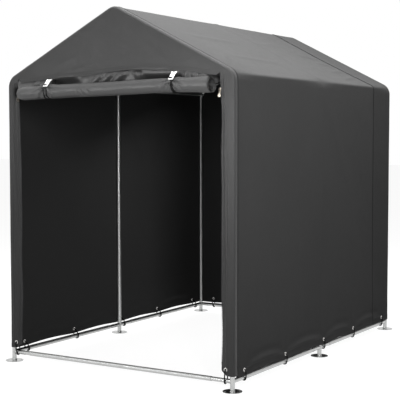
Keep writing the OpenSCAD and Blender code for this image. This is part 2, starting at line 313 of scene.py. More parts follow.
def weaveHeight(tree, pitch):
    uv = addNode(tree, "ShaderNodeUVMap", uv_map="weave")
    scale = 2 * math.pi / (20 * pitch)
    warp = addNode(tree, "ShaderNodeTexWave", bands_direction="X", Scale=scale, Distortion=0.4)
    weft = addNode(tree, "ShaderNodeTexWave", bands_direction="Y", Scale=scale, Distortion=0.4)
    cross = addNode(tree, "ShaderNodeMath", operation="MAXIMUM")
    for k, wave in enumerate((warp, weft)):
        tree.links.new(uv.outputs["UV"], wave.inputs["Vector"])
        tree.links.new(wave.outputs["Fac"], cross.inputs[k])
    return cross.outputs["Value"]


def objectTexture(tree, kind, **values):
    texture = addNode(tree, kind, **values)
    tree.links.new(addNode(tree, "ShaderNodeTexCoord").outputs["Object"], texture.inputs["Vector"])
    return texture


def drive(tree, target, source, stops):
    tree.links.new(rampNode(tree, source, stops), target)


def makeFabric(name, tone, roughness, specular, pitch=fabricLook["thread"]):
    material, tree, shader = newMaterial(name)
    cloud = objectTexture(tree, "ShaderNodeTexNoise", Scale=2.3, Detail=5.0, Roughness=0.6).outputs["Fac"]
    rubbed = objectTexture(tree, "ShaderNodeTexNoise", Scale=38.0, Detail=4.0, Roughness=0.65).outputs["Fac"]
    weave = weaveHeight(tree, pitch)
    mixed = addNode(tree, "ShaderNodeMix", data_type="RGBA", blend_type="MULTIPLY")
    mixed.inputs["Factor"].default_value = 1.0
    drive(tree, mixed.inputs["A"], cloud, [(0.3, tone * 0.97), (0.7, tone * 1.03)])
    drive(tree, mixed.inputs["B"], weave, [(0.2, 0.72), (0.9, 1.0)])
    tree.links.new(mixed.outputs["Result"], shader.inputs["Base Color"])
    drive(tree, shader.inputs["Roughness"], rubbed, [(0.3, roughness - 0.06), (0.7, roughness + 0.08)])
    bumpChain(tree, shader, [(rubbed, 0.16, 0.004), (weave, 0.25, 0.0004)])
    shader.inputs["Specular IOR Level"].default_value = specular
    return material


def makeMetal(name, tone, roughness, spangle):
    material, tree, shader = newMaterial(name)
    cells = objectTexture(tree, "ShaderNodeTexVoronoi", Scale=spangle, Randomness=1.0).outputs["Color"]
    smear = objectTexture(tree, "ShaderNodeTexNoise", Scale=spangle * 0.35, Detail=4.0).outputs["Fac"]
    grit = objectTexture(tree, "ShaderNodeTexNoise", Scale=900.0, Detail=2.0).outputs["Fac"]
    drive(tree, shader.inputs["Base Color"], cells, [(0.1, [t * 0.94 for t in tone]), (0.9, tone)])
    drive(tree, shader.inputs["Roughness"], smear, [(0.3, roughness - 0.07), (0.7, roughness + 0.10)])
    bumpChain(tree, shader, [(smear, 0.02, 0.002), (grit, 0.05, 0.0002)])
    shader.inputs["Metallic"].default_value = 1.0
    return material


def makePlastic(name, tone, roughness):
    material, tree, shader = newMaterial(name)
    flow = objectTexture(tree, "ShaderNodeTexNoise", Scale=60.0, Detail=3.0).outputs["Fac"]
    grain = objectTexture(tree, "ShaderNodeTexNoise", Scale=1400.0, Detail=2.0).outputs["Fac"]
    drive(tree, shader.inputs["Base Color"], flow, [(0.3, [t * 0.95 for t in tone]), (0.7, tone)])
    drive(tree, shader.inputs["Roughness"], flow, [(0.3, roughness - 0.05), (0.7, roughness + 0.08)])
    bumpChain(tree, shader, [(grain, 0.12, 0.0003)])
    shader.inputs["Subsurface Weight"].default_value = 0.08
    shader.inputs["Subsurface Radius"].default_value = (0.004, 0.004, 0.004)
    return material


def makeCord(name, tone, pitch):
    material, tree, shader = newMaterial(name)
    uv = addNode(tree, "ShaderNodeUVMap", uv_map="weave")
    braid = []
    for turn in (45, -45):
        twist = addNode(tree, "ShaderNodeMapping")
        twist.inputs["Rotation"].default_value = (0, 0, math.radians(turn))
        wave = addNode(tree, "ShaderNodeTexWave", Scale=2 * math.pi / (20 * pitch))
        tree.links.new(uv.outputs["UV"], twist.inputs["Vector"])
        tree.links.new(twist.outputs["Vector"], wave.inputs["Vector"])
        braid.append(wave.outputs["Fac"])
    plait = addNode(tree, "ShaderNodeMath", operation="MAXIMUM")
    tree.links.new(braid[0], plait.inputs[0])
    tree.links.new(braid[1], plait.inputs[1])
    drive(tree, shader.inputs["Base Color"], plait.outputs["Value"], [(0.4, tone * 0.5), (0.95, tone)])
    bumpChain(tree, shader, [(plait.outputs["Value"], 0.5, 0.0004)])
    shader.inputs["Roughness"].default_value = 0.7
    shader.inputs["Specular IOR Level"].default_value = 0.12
    return material


outerTone, outerRough, outerShine = (fabricLook[key] for key in ("tone", "rough", "specular"))
endTone = outerTone * fabricLook["endShare"]
coverFabric = makeFabric("cover_fabric_outer", outerTone, outerRough, outerShine)
# inner face: darker than the outer face, painted shade that stands in for the dim inside
coverBackingShade = makeFabric("cover_fabric_backing_painted_shade", fabricLook["backShadeTone"], 0.62, 0.04)
rearFabric = makeFabric("rear_fabric", endTone, outerRough, outerShine)
frontFabric = makeFabric("front_fabric", endTone, 0.34, 0.130)
doorFabric = makeFabric("door_fabric", fabricLook["doorTone"], 0.44, 0.600)
# near-black tape: a real binding tape, whose dark tone also stands in for the seams' shadow lines (painted
# shade)
seamTapeShade = makeFabric("binding_tape_seam_shade", 0.022, 0.7, 0.15, 0.0011)
sewingThread = makePlastic("sewing_thread", (0.075, 0.075, 0.078), 0.62)
elasticCord = makeCord("elastic_cord", 0.014, 0.0012)
galvanised = makeMetal("galvanised_steel", (0.50, 0.505, 0.50), 0.45, 75.0)
# the feet's steel is a little darker than the tubes': painted shade for the dark reflection on the plates,
# while its lower roughness reflects for real
footSteel = makeMetal("foot_steel", (0.47, 0.475, 0.47), 0.24, 75.0)
weldSteel = makeMetal("weld_steel", (0.44, 0.445, 0.44), 0.42, 160.0)
nickelPlate = makeMetal("nickel_plate", (0.62, 0.61, 0.59), 0.24, 240.0)
zipMetal = makeMetal("zip_metal", (0.56, 0.51, 0.44), 0.26, 300.0)
whitePlastic = makePlastic("white_plastic", (0.86, 0.86, 0.85), 0.38)
zipNylon = makePlastic("zip_nylon", (0.03, 0.03, 0.032), 0.42)
print("materials ready")


# repeats by geometry nodes: grains set along a line, and rings set on points
def startTree(name, labels):
    tree = bpy.data.node_groups.new(name, "GeometryNodeTree")
    sockets = [("Geometry", "Geometry")] + [(label, "Float") for label in labels] + [("Finish", "Material")]
    for label, kind in sockets:
        tree.interface.new_socket(label, in_out="INPUT", socket_type="NodeSocket" + kind)
    tree.interface.new_socket("Geometry", in_out="OUTPUT", socket_type="NodeSocketGeometry")
    up = addNode(tree, "GeometryNodeInputNamedAttribute", data_type="FLOAT_VECTOR", Name="up")
    return tree, tree.nodes.new("NodeGroupInput"), up.outputs["Attribute"]


def finishTree(tree, given, points, body, scale, rotation):
    # the body, scaled and turned, on every point
    add, link = tree.nodes.new, tree.links.new
    shape, place = add("GeometryNodeTransform"), add("GeometryNodeInstanceOnPoints")
    link(body, shape.inputs["Geometry"])
    link(scale, shape.inputs["Scale"])
    link(points, place.inputs["Points"])
    link(shape.outputs["Geometry"], place.inputs["Instance"])
    link(rotation, place.inputs["Rotation"])
    last = place.outputs["Instances"]
    for kind in ("RealizeInstances", "SetShadeSmooth", "SetMaterial"):
        node = add("GeometryNode" + kind)
        link(last, node.inputs["Geometry"])
        last = node.outputs["Geometry"]
    link(given.outputs["Finish"], node.inputs["Material"])
    link(last, add("NodeGroupOutput").inputs["Geometry"])
    return tree


def lineTree():
    tree, given, up = startTree("pieces_along_line", ("Pitch", "Length", "Width", "Height"))
    add, link = tree.nodes.new, tree.links.new
    curve, even = add("GeometryNodeMeshToCurve"), addNode(tree, "GeometryNodeResampleCurve", mode="LENGTH")
    link(given.outputs["Geometry"], curve.inputs["Mesh"])
    link(curve.outputs["Curve"], even.inputs["Curve"])
    link(given.outputs["Pitch"], even.inputs["Length"])
    turn = addNode(tree, "FunctionNodeAxesToRotation", primary_axis="X", secondary_axis="Z")
    link(add("GeometryNodeInputTangent").outputs["Tangent"], turn.inputs["Primary Axis"])
    link(up, turn.inputs["Secondary Axis"])
    grain = addNode(tree, "GeometryNodeMeshUVSphere", Segments=6, Rings=4, Radius=0.5)
    size = add("ShaderNodeCombineXYZ")
    for axis, label in zip("XYZ", ("Length", "Width", "Height")):
        link(given.outputs[label], size.inputs[axis])
    return finishTree(tree, given, even.outputs["Curve"], grain.outputs["Mesh"],
                      size.outputs["Vector"], turn.outputs["Rotation"])


def ringTree():
    tree, given, up = startTree("rings_on_points", ("Ring radius", "Rim radius", "Flatness"))
    link = tree.links.new
    ring = addNode(tree, "GeometryNodeCurvePrimitiveCircle", Resolution=28)
    rim = addNode(tree, "GeometryNodeCurvePrimitiveCircle", Resolution=10)
    body = tree.nodes.new("GeometryNodeCurveToMesh")
    size = addNode(tree, "ShaderNodeCombineXYZ", X=1.0, Y=1.0)
    turn = addNode(tree, "FunctionNodeAlignRotationToVector", axis="Z")
    link(given.outputs["Ring radius"], ring.inputs["Radius"])
    link(given.outputs["Rim radius"], rim.inputs["Radius"])
    link(given.outputs["Flatness"], size.inputs["Z"])
    link(ring.outputs["Curve"], body.inputs["Curve"])
    link(rim.outputs["Curve"], body.inputs["Profile Curve"])
    link(up, turn.inputs["Vector"])
    return finishTree(tree, given, given.outputs["Geometry"], body.outputs["Mesh"],
                      size.outputs["Vector"], turn.outputs["Rotation"])


alongLine, onPoints = lineTree(), ringTree()


def nodePiece(name, tree, lines, inputs):
    # lines is a list of (points, up directions, closed)
    verts, edges, ups = [], [], []
    for points, up, closed in lines:
        base, count = len(verts), len(points)
        verts += [list(p) for p in points]
        ups += [list(u) for u in up]
        edges += [(base + k, base + k + 1) for k in range(count - 1)]
        if closed:
            edges.append((base + count - 1, base))
    mesh = bpy.data.meshes.new(name)
    mesh.from_pydata(verts, edges if tree is alongLine else [], [])
    layer = mesh.attributes.new("up", "FLOAT_VECTOR", "POINT")
    layer.data.foreach_set("vector", np.array(ups, np.float32).reshape(-1))
    piece = linkPiece(name, mesh)
    modifier = piece.modifiers.new("repeat", "NODES")
    modifier.node_group = tree
    for item in tree.interface.items_tree:
        if item.in_out == "INPUT" and item.name in inputs:
            modifier[item.identifier] = inputs[item.name]
    return applyModifiers(piece)


def grains(name, lines, pitch, size, finish):
    # rounded grains of one size in a row along each line
    inputs = dict(zip(("Length", "Width", "Height"), size))
    return nodePiece(name, alongLine, lines, {"Pitch": pitch, "Finish": finish, **inputs})


# cross section of the cover: rounded over the arches, tight over the purlins between them
coverRows = {
    "fine": 0.007, "coarse": 0.014,
    "hem": 0.12, "underEave": 0.09, "overEave": 0.09, "ridge": 0.08,  # how far the fine rows reach
}
eyeletSet = {
    "rise": 0.028,  # above the hem
    "inset": 0.100, "perSide": 5, "dodge": 0.030, "perRear": 4, "frontIn": 0.030,
    "hole": 0.0058,  # half width of the cut under each ring
    "ring": 0.0076, "rim": 0.0029, "flat": 0.62, "proud": 0.0006,
}


def archHalf(off):
    wall = np.vstack([[[span + off, hemZ]], arcPoints(eaveC, bendR + off, 0, phi / 2)])
    roof = np.vstack([
        arcPoints(eaveC, bendR + off, phi / 2, phi),
        arcPoints(ridgeC, bendR + off, phi, math.pi / 2),
    ])
    return wall, roof


def bayHalf(off):
    foot = np.array([span + off, hemZ])
    drop = foot - np.array([eave.x, eave.z])
    lean = math.atan2(drop[1], drop[0]) + math.acos(off / np.hypot(*drop))
    slope = math.atan2(eave.x, ridge.z - eave.z)
    corner = (eave.x, eave.z)
    wall = np.vstack([[foot], arcPoints(corner, off, lean, phi / 2)])
    roof = np.vstack([
        arcPoints(corner, off, phi / 2, slope),
        arcPoints((0, ridge.z), off, slope, math.pi / 2),
    ])
    return wall, roof


wallLen, roofLen = (lengths(line)[-1] for line in archHalf(cloth["off"]))
stripStart = stripHemZ - hemZ  # the front strips end higher than the sides
eyeletRises = (eyeletSet["rise"], stripStart + eyeletSet["rise"])
cut = [rise + s * eyeletSet["hole"] for rise in eyeletRises for s in (-1, 1)]
wallFine, roofFine = wallLen - coverRows["underEave"], roofLen - coverRows["ridge"]
wallRows = np.concatenate([
    spread(0, coverRows["hem"], coverRows["fine"], cut + [stripStart])[:-1],
    spread(coverRows["hem"], wallFine, coverRows["coarse"])[:-1],
    spread(wallFine, wallLen, coverRows["fine"]),
])
roofRows = np.concatenate([
    spread(0, coverRows["overEave"], coverRows["fine"])[1:-1],
    spread(coverRows["overEave"], roofFine, coverRows["coarse"])[:-1],
    spread(roofFine, roofLen, coverRows["fine"]),
])
rowH = np.concatenate([wallRows, wallLen + roofRows])  # distance up from the hem


def halfSection(kind, off):
    wall, roof = kind(off)
    return np.vstack([resample(wall, wallRows / wallLen), resample(roof, roofRows / roofLen)])


def archWeight(y):
    y = np.asarray(y)
    return np.max([np.exp(-np.abs(y - at) / cloth["archReach"]) for at in (frontY, midY, rearY)], axis=0)


def bayWave(y):
    # 0 at the arches and 1 in the middle of each bay
    y = np.asarray(y)
    t = np.where(y < midY, (y - frontY) / (midY - frontY), (y - midY) / (rearY - midY))
    return np.sin(np.pi * np.clip(t, 0, 1))


def sideEyelets():
    low, high = frontY + eyeletSet["inset"], rearY - eyeletSet["inset"]
    places = np.linspace(low, high, eyeletSet["perSide"])
    return [y + (eyeletSet["dodge"] if abs(y - midY) < eyeletSet["dodge"] else 0) for y in places]


def rearEyelets():
    reach = span - eyeletSet["inset"]
    return list(np.linspace(-reach, reach, eyeletSet["perRear"]))


hemSet = {
    "line": 0.030, "arch": 0.022,  # height of the slack's fold at the eyelets, and its rise between them
    "fold": 0.0040, "foldWide": 0.015, "hollow": 0.0030, "hollowUp": 0.032, "hollowWide": 0.020,
    "lift": 0.007, "liftFade": 0.22,  # the hem rises between the eyelets
    "pull": 0.0030, "pullWide": 0.030,  # each loop pulls its eyelet in
    "pucker": 0.0016, "puckers": 7, "puckerFrom": 0.014, "puckerReach": 0.05, "puckerTurn": 2.1,
    "turned": 0.0009, "turnedTop": (0.036, 0.040),  # the cloth is double below this height
}


def hemFolds(along, h, eyelets, seed):
    # slack between the eyelets hangs in shallow smiles, and the cloth puckers at each eyelet
    out = np.zeros(np.broadcast(along, h).shape)
    lift = np.zeros_like(out)
    for a, b in zip(eyelets, eyelets[1:]):
        t = np.clip((along - a) / (b - a), 0, 1)
        swell = np.sin(np.pi * t)
        above = h - (hemSet["line"] + hemSet["arch"] * 4 * t * (1 - t))
        out += hemSet["fold"] * swell * np.exp(-(above / hemSet["foldWide"]) ** 2)
        out -= hemSet["hollow"] * swell * np.exp(-((above - hemSet["hollowUp"]) / hemSet["hollowWide"]) ** 2)
        lift += hemSet["lift"] * swell ** 1.5
    for k, at in enumerate(eyelets):
        dy, dh = along - at, h - eyeletSet["rise"]
        r, a = np.hypot(dy, dh), np.arctan2(dh, dy)
        out -= hemSet["pull"] * np.exp(-(r / hemSet["pullWide"]) ** 2)
        rays = np.cos(hemSet["puckers"] * a + seed + hemSet["puckerTurn"] * k)
        fade = np.exp(-r / hemSet["puckerReach"]) * (1 - np.exp(-(r / hemSet["puckerFrom"]) ** 2))
        out += hemSet["pucker"] * rays * fade
    out += hemSet["turned"] * (1 - smooth(*hemSet["turnedTop"], h))
    return out, lift * (1 - smooth(0, hemSet["liftFade"], h))


# main cover: both side walls and both roof slopes in one piece
mainCover = {
    "front": 0.012,  # starts behind the front arch's axis
    "under": 0.022,  # runs on under the rear sheet
    "step": 0.016,
    "wallSag": 0.006, "roofSag": 0.009,
    "ripple": 0.0016, "rippleHeld": 0.35, "heldReach": (0.02, 0.10),  # less ripple near the eave and ridge
    # side, start and end as (distance along, distance up from the hem), width, height
    "creases": [
        (1, (0.05, 1.45), (0.46, 0.86), 0.045, 0.0024), (1, (0.00, 1.30), (-0.30, 0.80), 0.060, 0.0018),
        (1, (0.68, 1.42), (0.40, 1.10), 0.030, 0.0015), (1, (-0.92, 1.42), (-0.60, 1.00), 0.040, 0.0018),
        (1, (0.52, 1.60), (0.76, 1.66), 0.014, 0.0062), (1, (0.56, 1.72), (0.77, 1.75), 0.013, 0.0064),
        (1, (0.60, 1.86), (0.76, 1.84), 0.013, 0.0064), (1, (0.50, 1.98), (0.75, 1.93), 0.016, 0.0056),
        (1, (-0.60, 1.80), (-0.10, 1.74), 0.022, 0.0052), (1, (-0.70, 2.05), (-0.20, 2.02), 0.022, 0.0050),
        (1, (0.10, 2.06), (0.50, 2.10), 0.024, 0.0036), (1, (-0.90, 1.62), (-0.65, 1.80), 0.020, 0.0040),
        (1, (midY, 1.585), (midY, 2.31), 0.012, 0.0062), (-1, (midY, 1.585), (midY, 2.31), 0.012, 0.0062),
        (-1, (0.05, 1.45), (0.40, 0.95), 0.045, 0.0024), (-1, (0.00, 1.35), (-0.38, 0.90), 0.055, 0.0021),
        (-1, (0.70, 1.40), (0.42, 1.00), 0.035, 0.0018), (-1, (-0.60, 1.78), (-0.15, 1.83), 0.028, 0.0021),
        (-1, (0.20, 1.90), (0.70, 1.84), 0.030, 0.0021), (-1, (-0.80, 2.08), (-0.30, 2.00), 0.030, 0.0018),
    ],
}


def coverHalf(off, columns):
    arch, bay = halfSection(archHalf, off), halfSection(bayHalf, off)
    w = archWeight(columns)[None, :, None]
    return bay[:, None, :] * (1 - w) + arch[:, None, :] * w


def sagging(h, y):
    wave = bayWave(y)
    wall = np.sin(np.pi * np.clip(h / wallLen, 0, 1))
    roof = np.sin(np.pi * np.clip((h - wallLen) / roofLen, 0, 1))
    return -wave * (mainCover["wallSag"] * wall + mainCover["roofSag"] * roof)


def coverMove(points, h, side):
    # how far the slack cloth of the sides and the roof stands off its cross section
    y = points[..., 1]
    folds, lift = hemFolds(y, h, sideEyelets(), 1.0)
    move = sagging(h, y) + folds
    for which, start, end, wide, high in mainCover["creases"]:
        move = move + (side == which) * crease(y, h, start, end, wide, high)
    toTubes = np.minimum(np.abs(h - wallLen), np.abs(h - wallLen - roofLen))
    free = smooth(*mainCover["heldReach"], toTubes) * bayWave(y)
    held = mainCover["rippleHeld"]
    return move + mainCover["ripple"] * rough(points, 4.5, 1.0) * (held + (1 - held) * free), lift


def shapeCover(columns, off):
    # full width sheet from the left hem over the ridge to the right hem
    half = coverHalf(off, columns)
    right = np.stack([half[..., 0], np.broadcast_to(columns, half.shape[:2]), half[..., 1]], -1)
    points = np.concatenate([right * np.array([-1, 1, 1]), right[-2::-1]], 0)
    h = np.concatenate([rowH, rowH[-2::-1]])[:, None]
    side = np.concatenate([-np.ones(len(rowH)), np.ones(len(rowH) - 1)])[:, None]
    normals = sheetNormals(points)
    normals *= np.sign(normals[len(rowH) - 1, :, 2].mean())
    move, lift = coverMove(points, h, side)
    points = points + normals * move[..., None]
    points[..., 2] += lift
    shaped = sheetNormals(points)
    return points, shaped * np.sign((normals * shaped).sum())


eyeletY = sideEyelets()
holeCuts = [y + s * eyeletSet["hole"] for y in eyeletY for s in (-1, 1)]
coverY = spread(frontY + mainCover["front"], seamY + mainCover["under"], mainCover["step"], holeCuts + [midY])
coverPts, coverNormals = shapeCover(coverY, cloth["off"])


def eyeletGaps(rowPlaces, colPlaces, rowAt, colAts):
    # the cells of a sheet that are cut out under the eyelets
    r, c = (rowPlaces[:-1] + rowPlaces[1:]) / 2, (colPlaces[:-1] + colPlaces[1:]) / 2
    near = np.any([np.abs(c - at) < eyeletSet["hole"] for at in colAts], axis=0)
    return (np.abs(r - rowAt) < eyeletSet["hole"])[:, None] & near[None, :]


def gapCentres(points, normals, skip):
    # middle and outward direction of each hole, from the cells that were cut out for it
    holes = []
    for i, j in np.argwhere(skip):
        cell = [grid[i:i + 2, j:j + 2].reshape(-1, 3).mean(0) for grid in (points, normals)]
        near = [hole for hole in holes if np.linalg.norm(hole[0][0] - cell[0]) < 4 * eyeletSet["hole"]]
        if near:
            near[0].append(cell)
        else:
            holes.append([cell])
    found = [np.mean(hole, axis=0) for hole in holes]
    return [(spot, n / np.linalg.norm(n)) for spot, n in found]


halfGaps = eyeletGaps(rowH, coverY, eyeletSet["rise"], eyeletY)
coverGaps = np.concatenate([halfGaps, halfGaps[::-1]], 0)
cover = clothSheet("main_cover", coverPts, coverNormals, coverGaps)
dress(cover, "cover_fabric", "side_wall_left", "side_wall_right", "roof_left", "roof_right")
eyelets = gapCentres(coverPts, coverNormals, coverGaps)
print("main cover", len(cover.data.polygons), "faces")


# end sheets: a strip on the sides and roof, a rounded corner over the arch, and a flat face
def endSheet(rowSet, endY, sign, off, strip, faceX, arcSteps=7):
    # right half only; strip holds distances in from the arch, far end first
    outer = halfSection(archHalf, off)
    slope = np.gradient(outer, axis=0)
    normal = np.stack([slope[:, 1], -slope[:, 0]], -1)
    normal /= np.linalg.norm(normal, axis=1, keepdims=True)
    axis = outer - normal * off
    stripHalf = coverHalf(off, endY - sign * np.asarray(strip))
    angles = np.linspace(0, math.pi / 2, arcSteps)[1:]
    points, out = [], []
    for k in rowSet:
        nx, nz = normal[k]
        line = [(stripHalf[k, j, 0], endY - sign * back, stripHalf[k, j, 1]) for j, back in enumerate(strip)]
        lineOut = [(nx, 0, nz)] * len(strip)
        for a in angles:
            c, s = off * math.cos(a), off * math.sin(a)
            line.append((axis[k, 0] + c * nx, endY + sign * s, axis[k, 1] + c * nz))
            lineOut.append((math.cos(a) * nx, sign * math.sin(a), math.cos(a) * nz))
        face = faceX(axis[k, 0])
        points.append(line + [(x, endY + sign * off, axis[k, 1]) for x in face])
        out.append(lineOut + [(0, sign, 0)] * len(face))
    weight = np.concatenate([np.zeros(len(strip)), np.linspace(0, 1, arcSteps)[1:], np.ones(len(face))])
    return np.array(points), np.array(out, float), weight


def bothHalves(points, out, weight):
    # adds the left half, so that columns run from the left strip over the face to the right strip
    flip = np.array([-1, 1, 1])
    return (np.concatenate([points * flip, points[:, -2::-1]], 1),
            np.concatenate([out * flip, out[:, -2::-1]], 1), np.concatenate([weight, weight[-2::-1]]))


rearSheet = {
    "step": 0.022, "ripple": 0.0022, "sag": 0.006, "plainRow": 0.3,
    # start and end on the face as (across, up from the hem), width, height
    "creases": [
        ((-0.60, 1.38), (-0.20, 0.88), 0.050, 0.0045), ((0.62, 1.33), (0.25, 0.73), 0.050, 0.0045),
        ((0.00, 1.78), (0.05, 1.23), 0.040, 0.0030), ((-0.45, 0.68), (-0.10, 0.28), 0.045, 0.0035),
        ((0.50, 0.53), (0.15, 0.23), 0.040, 0.0035),
    ],
}
elsewhere = 9  # stands for columns that can hold no eyelet
rearEyeletX = rearEyelets()
rearStrip = spread(0, rearY - seamY, rearSheet["step"], [rearY - y for y in holeCuts])[::-1]


def rearFace(start):
    marks = [x + s * eyeletSet["hole"] for x in rearEyeletX for s in (-1, 1)]
    return spread(0, span, rearSheet["step"], marks)[::-1][1:] * min(1.0, start / span)


rearHalf = endSheet(range(len(rowH)), rearY, 1, cloth["capOff"], rearStrip, rearFace)
rearPts, rearOut, onFace = bothHalves(*rearHalf)
h, side = rowH[:, None], np.sign(rearPts[..., 0])
x, up = rearPts[..., 0], rearPts[..., 2] - hemZ
faceMove, faceLift = hemFolds(x, h, rearEyeletX, 3.0)
belly = np.clip(1 - (x / np.maximum(np.abs(x).max(1, keepdims=True), 0.02)) ** 2, 0, 1)
belly = belly * np.sin(np.pi * np.clip(up / up.max(), 0, 1))
ripple = rearSheet["ripple"] * rough(rearPts, 4.0, 2.0) * np.sqrt(belly)
faceMove = faceMove - rearSheet["sag"] * belly + ripple
for start, end, wide, high in rearSheet["creases"]:
    faceMove = faceMove + crease(x, up, start, end, wide, high)
sideMove, sideLift = coverMove(rearPts, h, side)
rearPts = rearPts + rearOut * (sideMove * (1 - onFace) + faceMove * onFace)[..., None]
rearPts[..., 2] += sideLift * (1 - onFace) + faceLift * onFace
low = np.argmin(np.abs(rowH - rearSheet["plainRow"]))
faceCols = np.where(onFace == 1, rearPts[low, :, 0], elsewhere)
sideCols = np.where(onFace == 0, rearPts[low, :, 1], elsewhere)
rearGaps = eyeletGaps(rowH, faceCols, eyeletSet["rise"], rearEyeletX)
rearGaps |= eyeletGaps(rowH, sideCols, eyeletSet["rise"], eyeletY)
rear = clothSheet("rear_sheet", rearPts, rearOut, rearGaps, weld=True)
rear.data.materials[0] = rearFabric
dress(rear, "cover_fabric", "rear_wall")
eyelets += gapCentres(rearPts, rearOut, rearGaps)
print("rear sheet", len(rear.data.polygons), "faces")


# front sheet: the gable and the strips beside the doorway in one piece, cut out for the door
frontSheet = {
    "off": 0.0156, "wrap": 0.026, "wrapStep": 0.0065, "step": 0.022, "stripStep": 0.0030, "ripple": 0.0009,
    # height of the gable's free edge above the seam, from left to right
    "edge": [
        (-0.70, -0.027), (-0.64, -0.027), (-0.47, -0.014), (-0.35, -0.006), (-0.19, 0.0), (-0.083, 0.0125),
        (0.053, 0.024), (0.11, 0.0245), (0.236, 0.017), (0.447, 0.008), (0.535, -0.006), (0.617, -0.018),
        (0.70, -0.018),
    ],
    "edgeHalf": 0.72, "edgePoints": 289, "edgeSoft": 25,  # how the edge's line is evened out
    "edgeFade": 0.10,  # the free edge's rise fades out over this height
    "edgeEnd": 0.012, "faceIn": 8, "seamFade": 0.06,
    "edgeBelow": -0.01,  # what lies this far under the seam moves with the free edge
    "hem": 0.0010, "hemTop": (0.016, 0.020),  # turned hem along the free edge
    "roll": 0.0030, "rollWave": 0.002, "rollWaves": 23, "rollReach": 0.012,  # the edge rolls forward
    # stretches of the free edge that curl forward: from, to, how far
    "lips": [(-0.37, -0.24, 0.008), (0.14, 0.34, 0.010)], "lipEnd": 0.03, "lipReach": 0.009,
    # upright wrinkles in the strips: height, waves across, wander, its waves up, its shift, start and end
    "wrinkles": [(0.0016, 15, 2, 3, 1, 0.1, 0.4), (0.0013, 27, 3, 1.7, 2, 0.05, 0.3),
                 (0.0007, 41, 2, 1.3, 1, 0.05, 0.2)],
    "flutter": 0.0022, "flutterWaves": 17, "sway": 0.002, "swayWaves": 11,
    "stripHem": 0.0008, "stripHemTop": (0.036, 0.04),
    "curl": 0.016, "curlFrom": 0.45, "curlFall": (0.05, 0.30),  # the strips' zipped edges hang back
    # pocket in the left strip where the roll's end presses on it
    "dent": 0.030, "dentRise": (0.35, 0.60), "dentFall": (0.75, 1.0), "dentDrop": 0.035, "dentHigh": 0.032,
    "lift": 0.026, "liftCurve": 2.2, "liftFade": 0.10,  # the hem's inner corners are cut round
    "eyeletX": span - eyeletSet["frontIn"],
    # start and end as (across, up from the free edge), width, height
    "creases": [
        ((-0.46, 0.02), (-0.22, 0.12), 0.016, 0.0016), ((-0.43, 0.01), (-0.10, 0.06), 0.012, 0.0013),
        ((0.36, 0.03), (0.22, 0.15), 0.016, 0.0014), ((0.37, 0.03), (0.42, 0.16), 0.014, 0.0014),
        ((0.38, 0.02), (0.54, 0.09), 0.014, 0.0016), ((-0.50, 0.02), (-0.62, 0.08), 0.012, 0.0016),
        ((0.60, -0.02), (0.67, -0.12), 0.010, 0.0020), ((-0.61, -0.02), (-0.68, -0.11), 0.010, 0.0020),
    ],
}
frontWrap = spread(0, frontSheet["wrap"], frontSheet["wrapStep"])[::-1]
archRows = halfSection(archHalf, 0)
firstRow = int(np.argmin(np.abs(rowH - stripStart)))
frontRows = list(range(firstRow, len(rowH)))
seamRow = int(np.argmin(np.abs(archRows[:, 1] - gableZ))) - firstRow
seamHalf = archRows[seamRow + firstRow, 0]  # half width of the arch at the seam


def frontFace(start):
    marks = [frontSheet["eyeletX"] + s * eyeletSet["hole"] for s in (-1, 1)]
    strip = spread(doorX, span, frontSheet["stripStep"], marks)[::-1][1:]
    gableX = spread(0, doorX, frontSheet["step"])[::-1][1:]
    inner = doorX * min(1.0, start / seamHalf)
    outer = inner + (strip - doorX) * (start - inner) / (span - doorX)
    return np.concatenate([outer, gableX * inner / doorX])


frontHalf = endSheet(frontRows, frontY, -1, frontSheet["off"], frontWrap, frontFace)
frontPts, frontOut, onFace = bothHalves(*frontHalf)
h, side = rowH[frontRows][:, None], np.sign(frontPts[..., 0])
x, up = frontPts[..., 0], frontPts[..., 2] - gableZ
doorCols = np.abs(frontPts[0, :, 0]) < doorX + 0.0005
firstDoor, lastDoor = np.flatnonzero(doorCols)[[0, -1]]
edgeX, edgeZ = np.array(frontSheet["edge"]).T
edgeAt = np.linspace(-frontSheet["edgeHalf"], frontSheet["edgeHalf"], frontSheet["edgePoints"])
edgeBell = np.hanning(frontSheet["edgeSoft"])
edgePad = np.pad(np.interp(edgeAt, edgeX, edgeZ), frontSheet["edgeSoft"] // 2, "edge")
edgeLine = np.convolve(edgePad, edgeBell / edgeBell.sum(), "valid")


def gableEdge(x):
    return gableZ + np.interp(x, edgeAt, edgeLine)


# 1 along the free edge, 0 at the strips
hung = smooth(0.0, frontSheet["edgeEnd"], doorX - np.abs(frontPts[seamRow, :, 0]))[None, :]
seamZ = frontPts[seamRow, -len(frontWrap) - frontSheet["faceIn"], 2]
frontPts[..., 2] += hung * (gableEdge(x) - seamZ) * (1 - smooth(0, frontSheet["edgeFade"], np.abs(up)))
faceMove = frontSheet["ripple"] * rough(frontPts, 6.0, 4.0)
freeEdge = up > frontSheet["edgeBelow"]
rolling = frontSheet["roll"] + frontSheet["rollWave"] * np.sin(x * frontSheet["rollWaves"])
rolling = rolling * np.exp(-np.abs(up) / frontSheet["rollReach"])
turned = frontSheet["hem"] * (1 - smooth(*frontSheet["hemTop"], up))
faceMove = faceMove + hung * freeEdge * (turned + rolling)
for start, end, out in frontSheet["lips"]:
    ease = frontSheet["lipEnd"]
    reach = smooth(start - ease, start + ease, x) * (1 - smooth(end - ease, end + ease, x))
    faceMove = faceMove + out * reach * freeEdge * np.exp(-np.abs(up) / frontSheet["lipReach"])
for start, end, wide, high in frontSheet["creases"]:
    faceMove = faceMove + crease(x, up, start, end, wide, high)
inward = np.clip((span - np.abs(x)) / (span - doorX), 0, 1)
below = smooth(0.0, frontSheet["seamFade"], -up)  # the strips, under the seam
wrinkle = 0
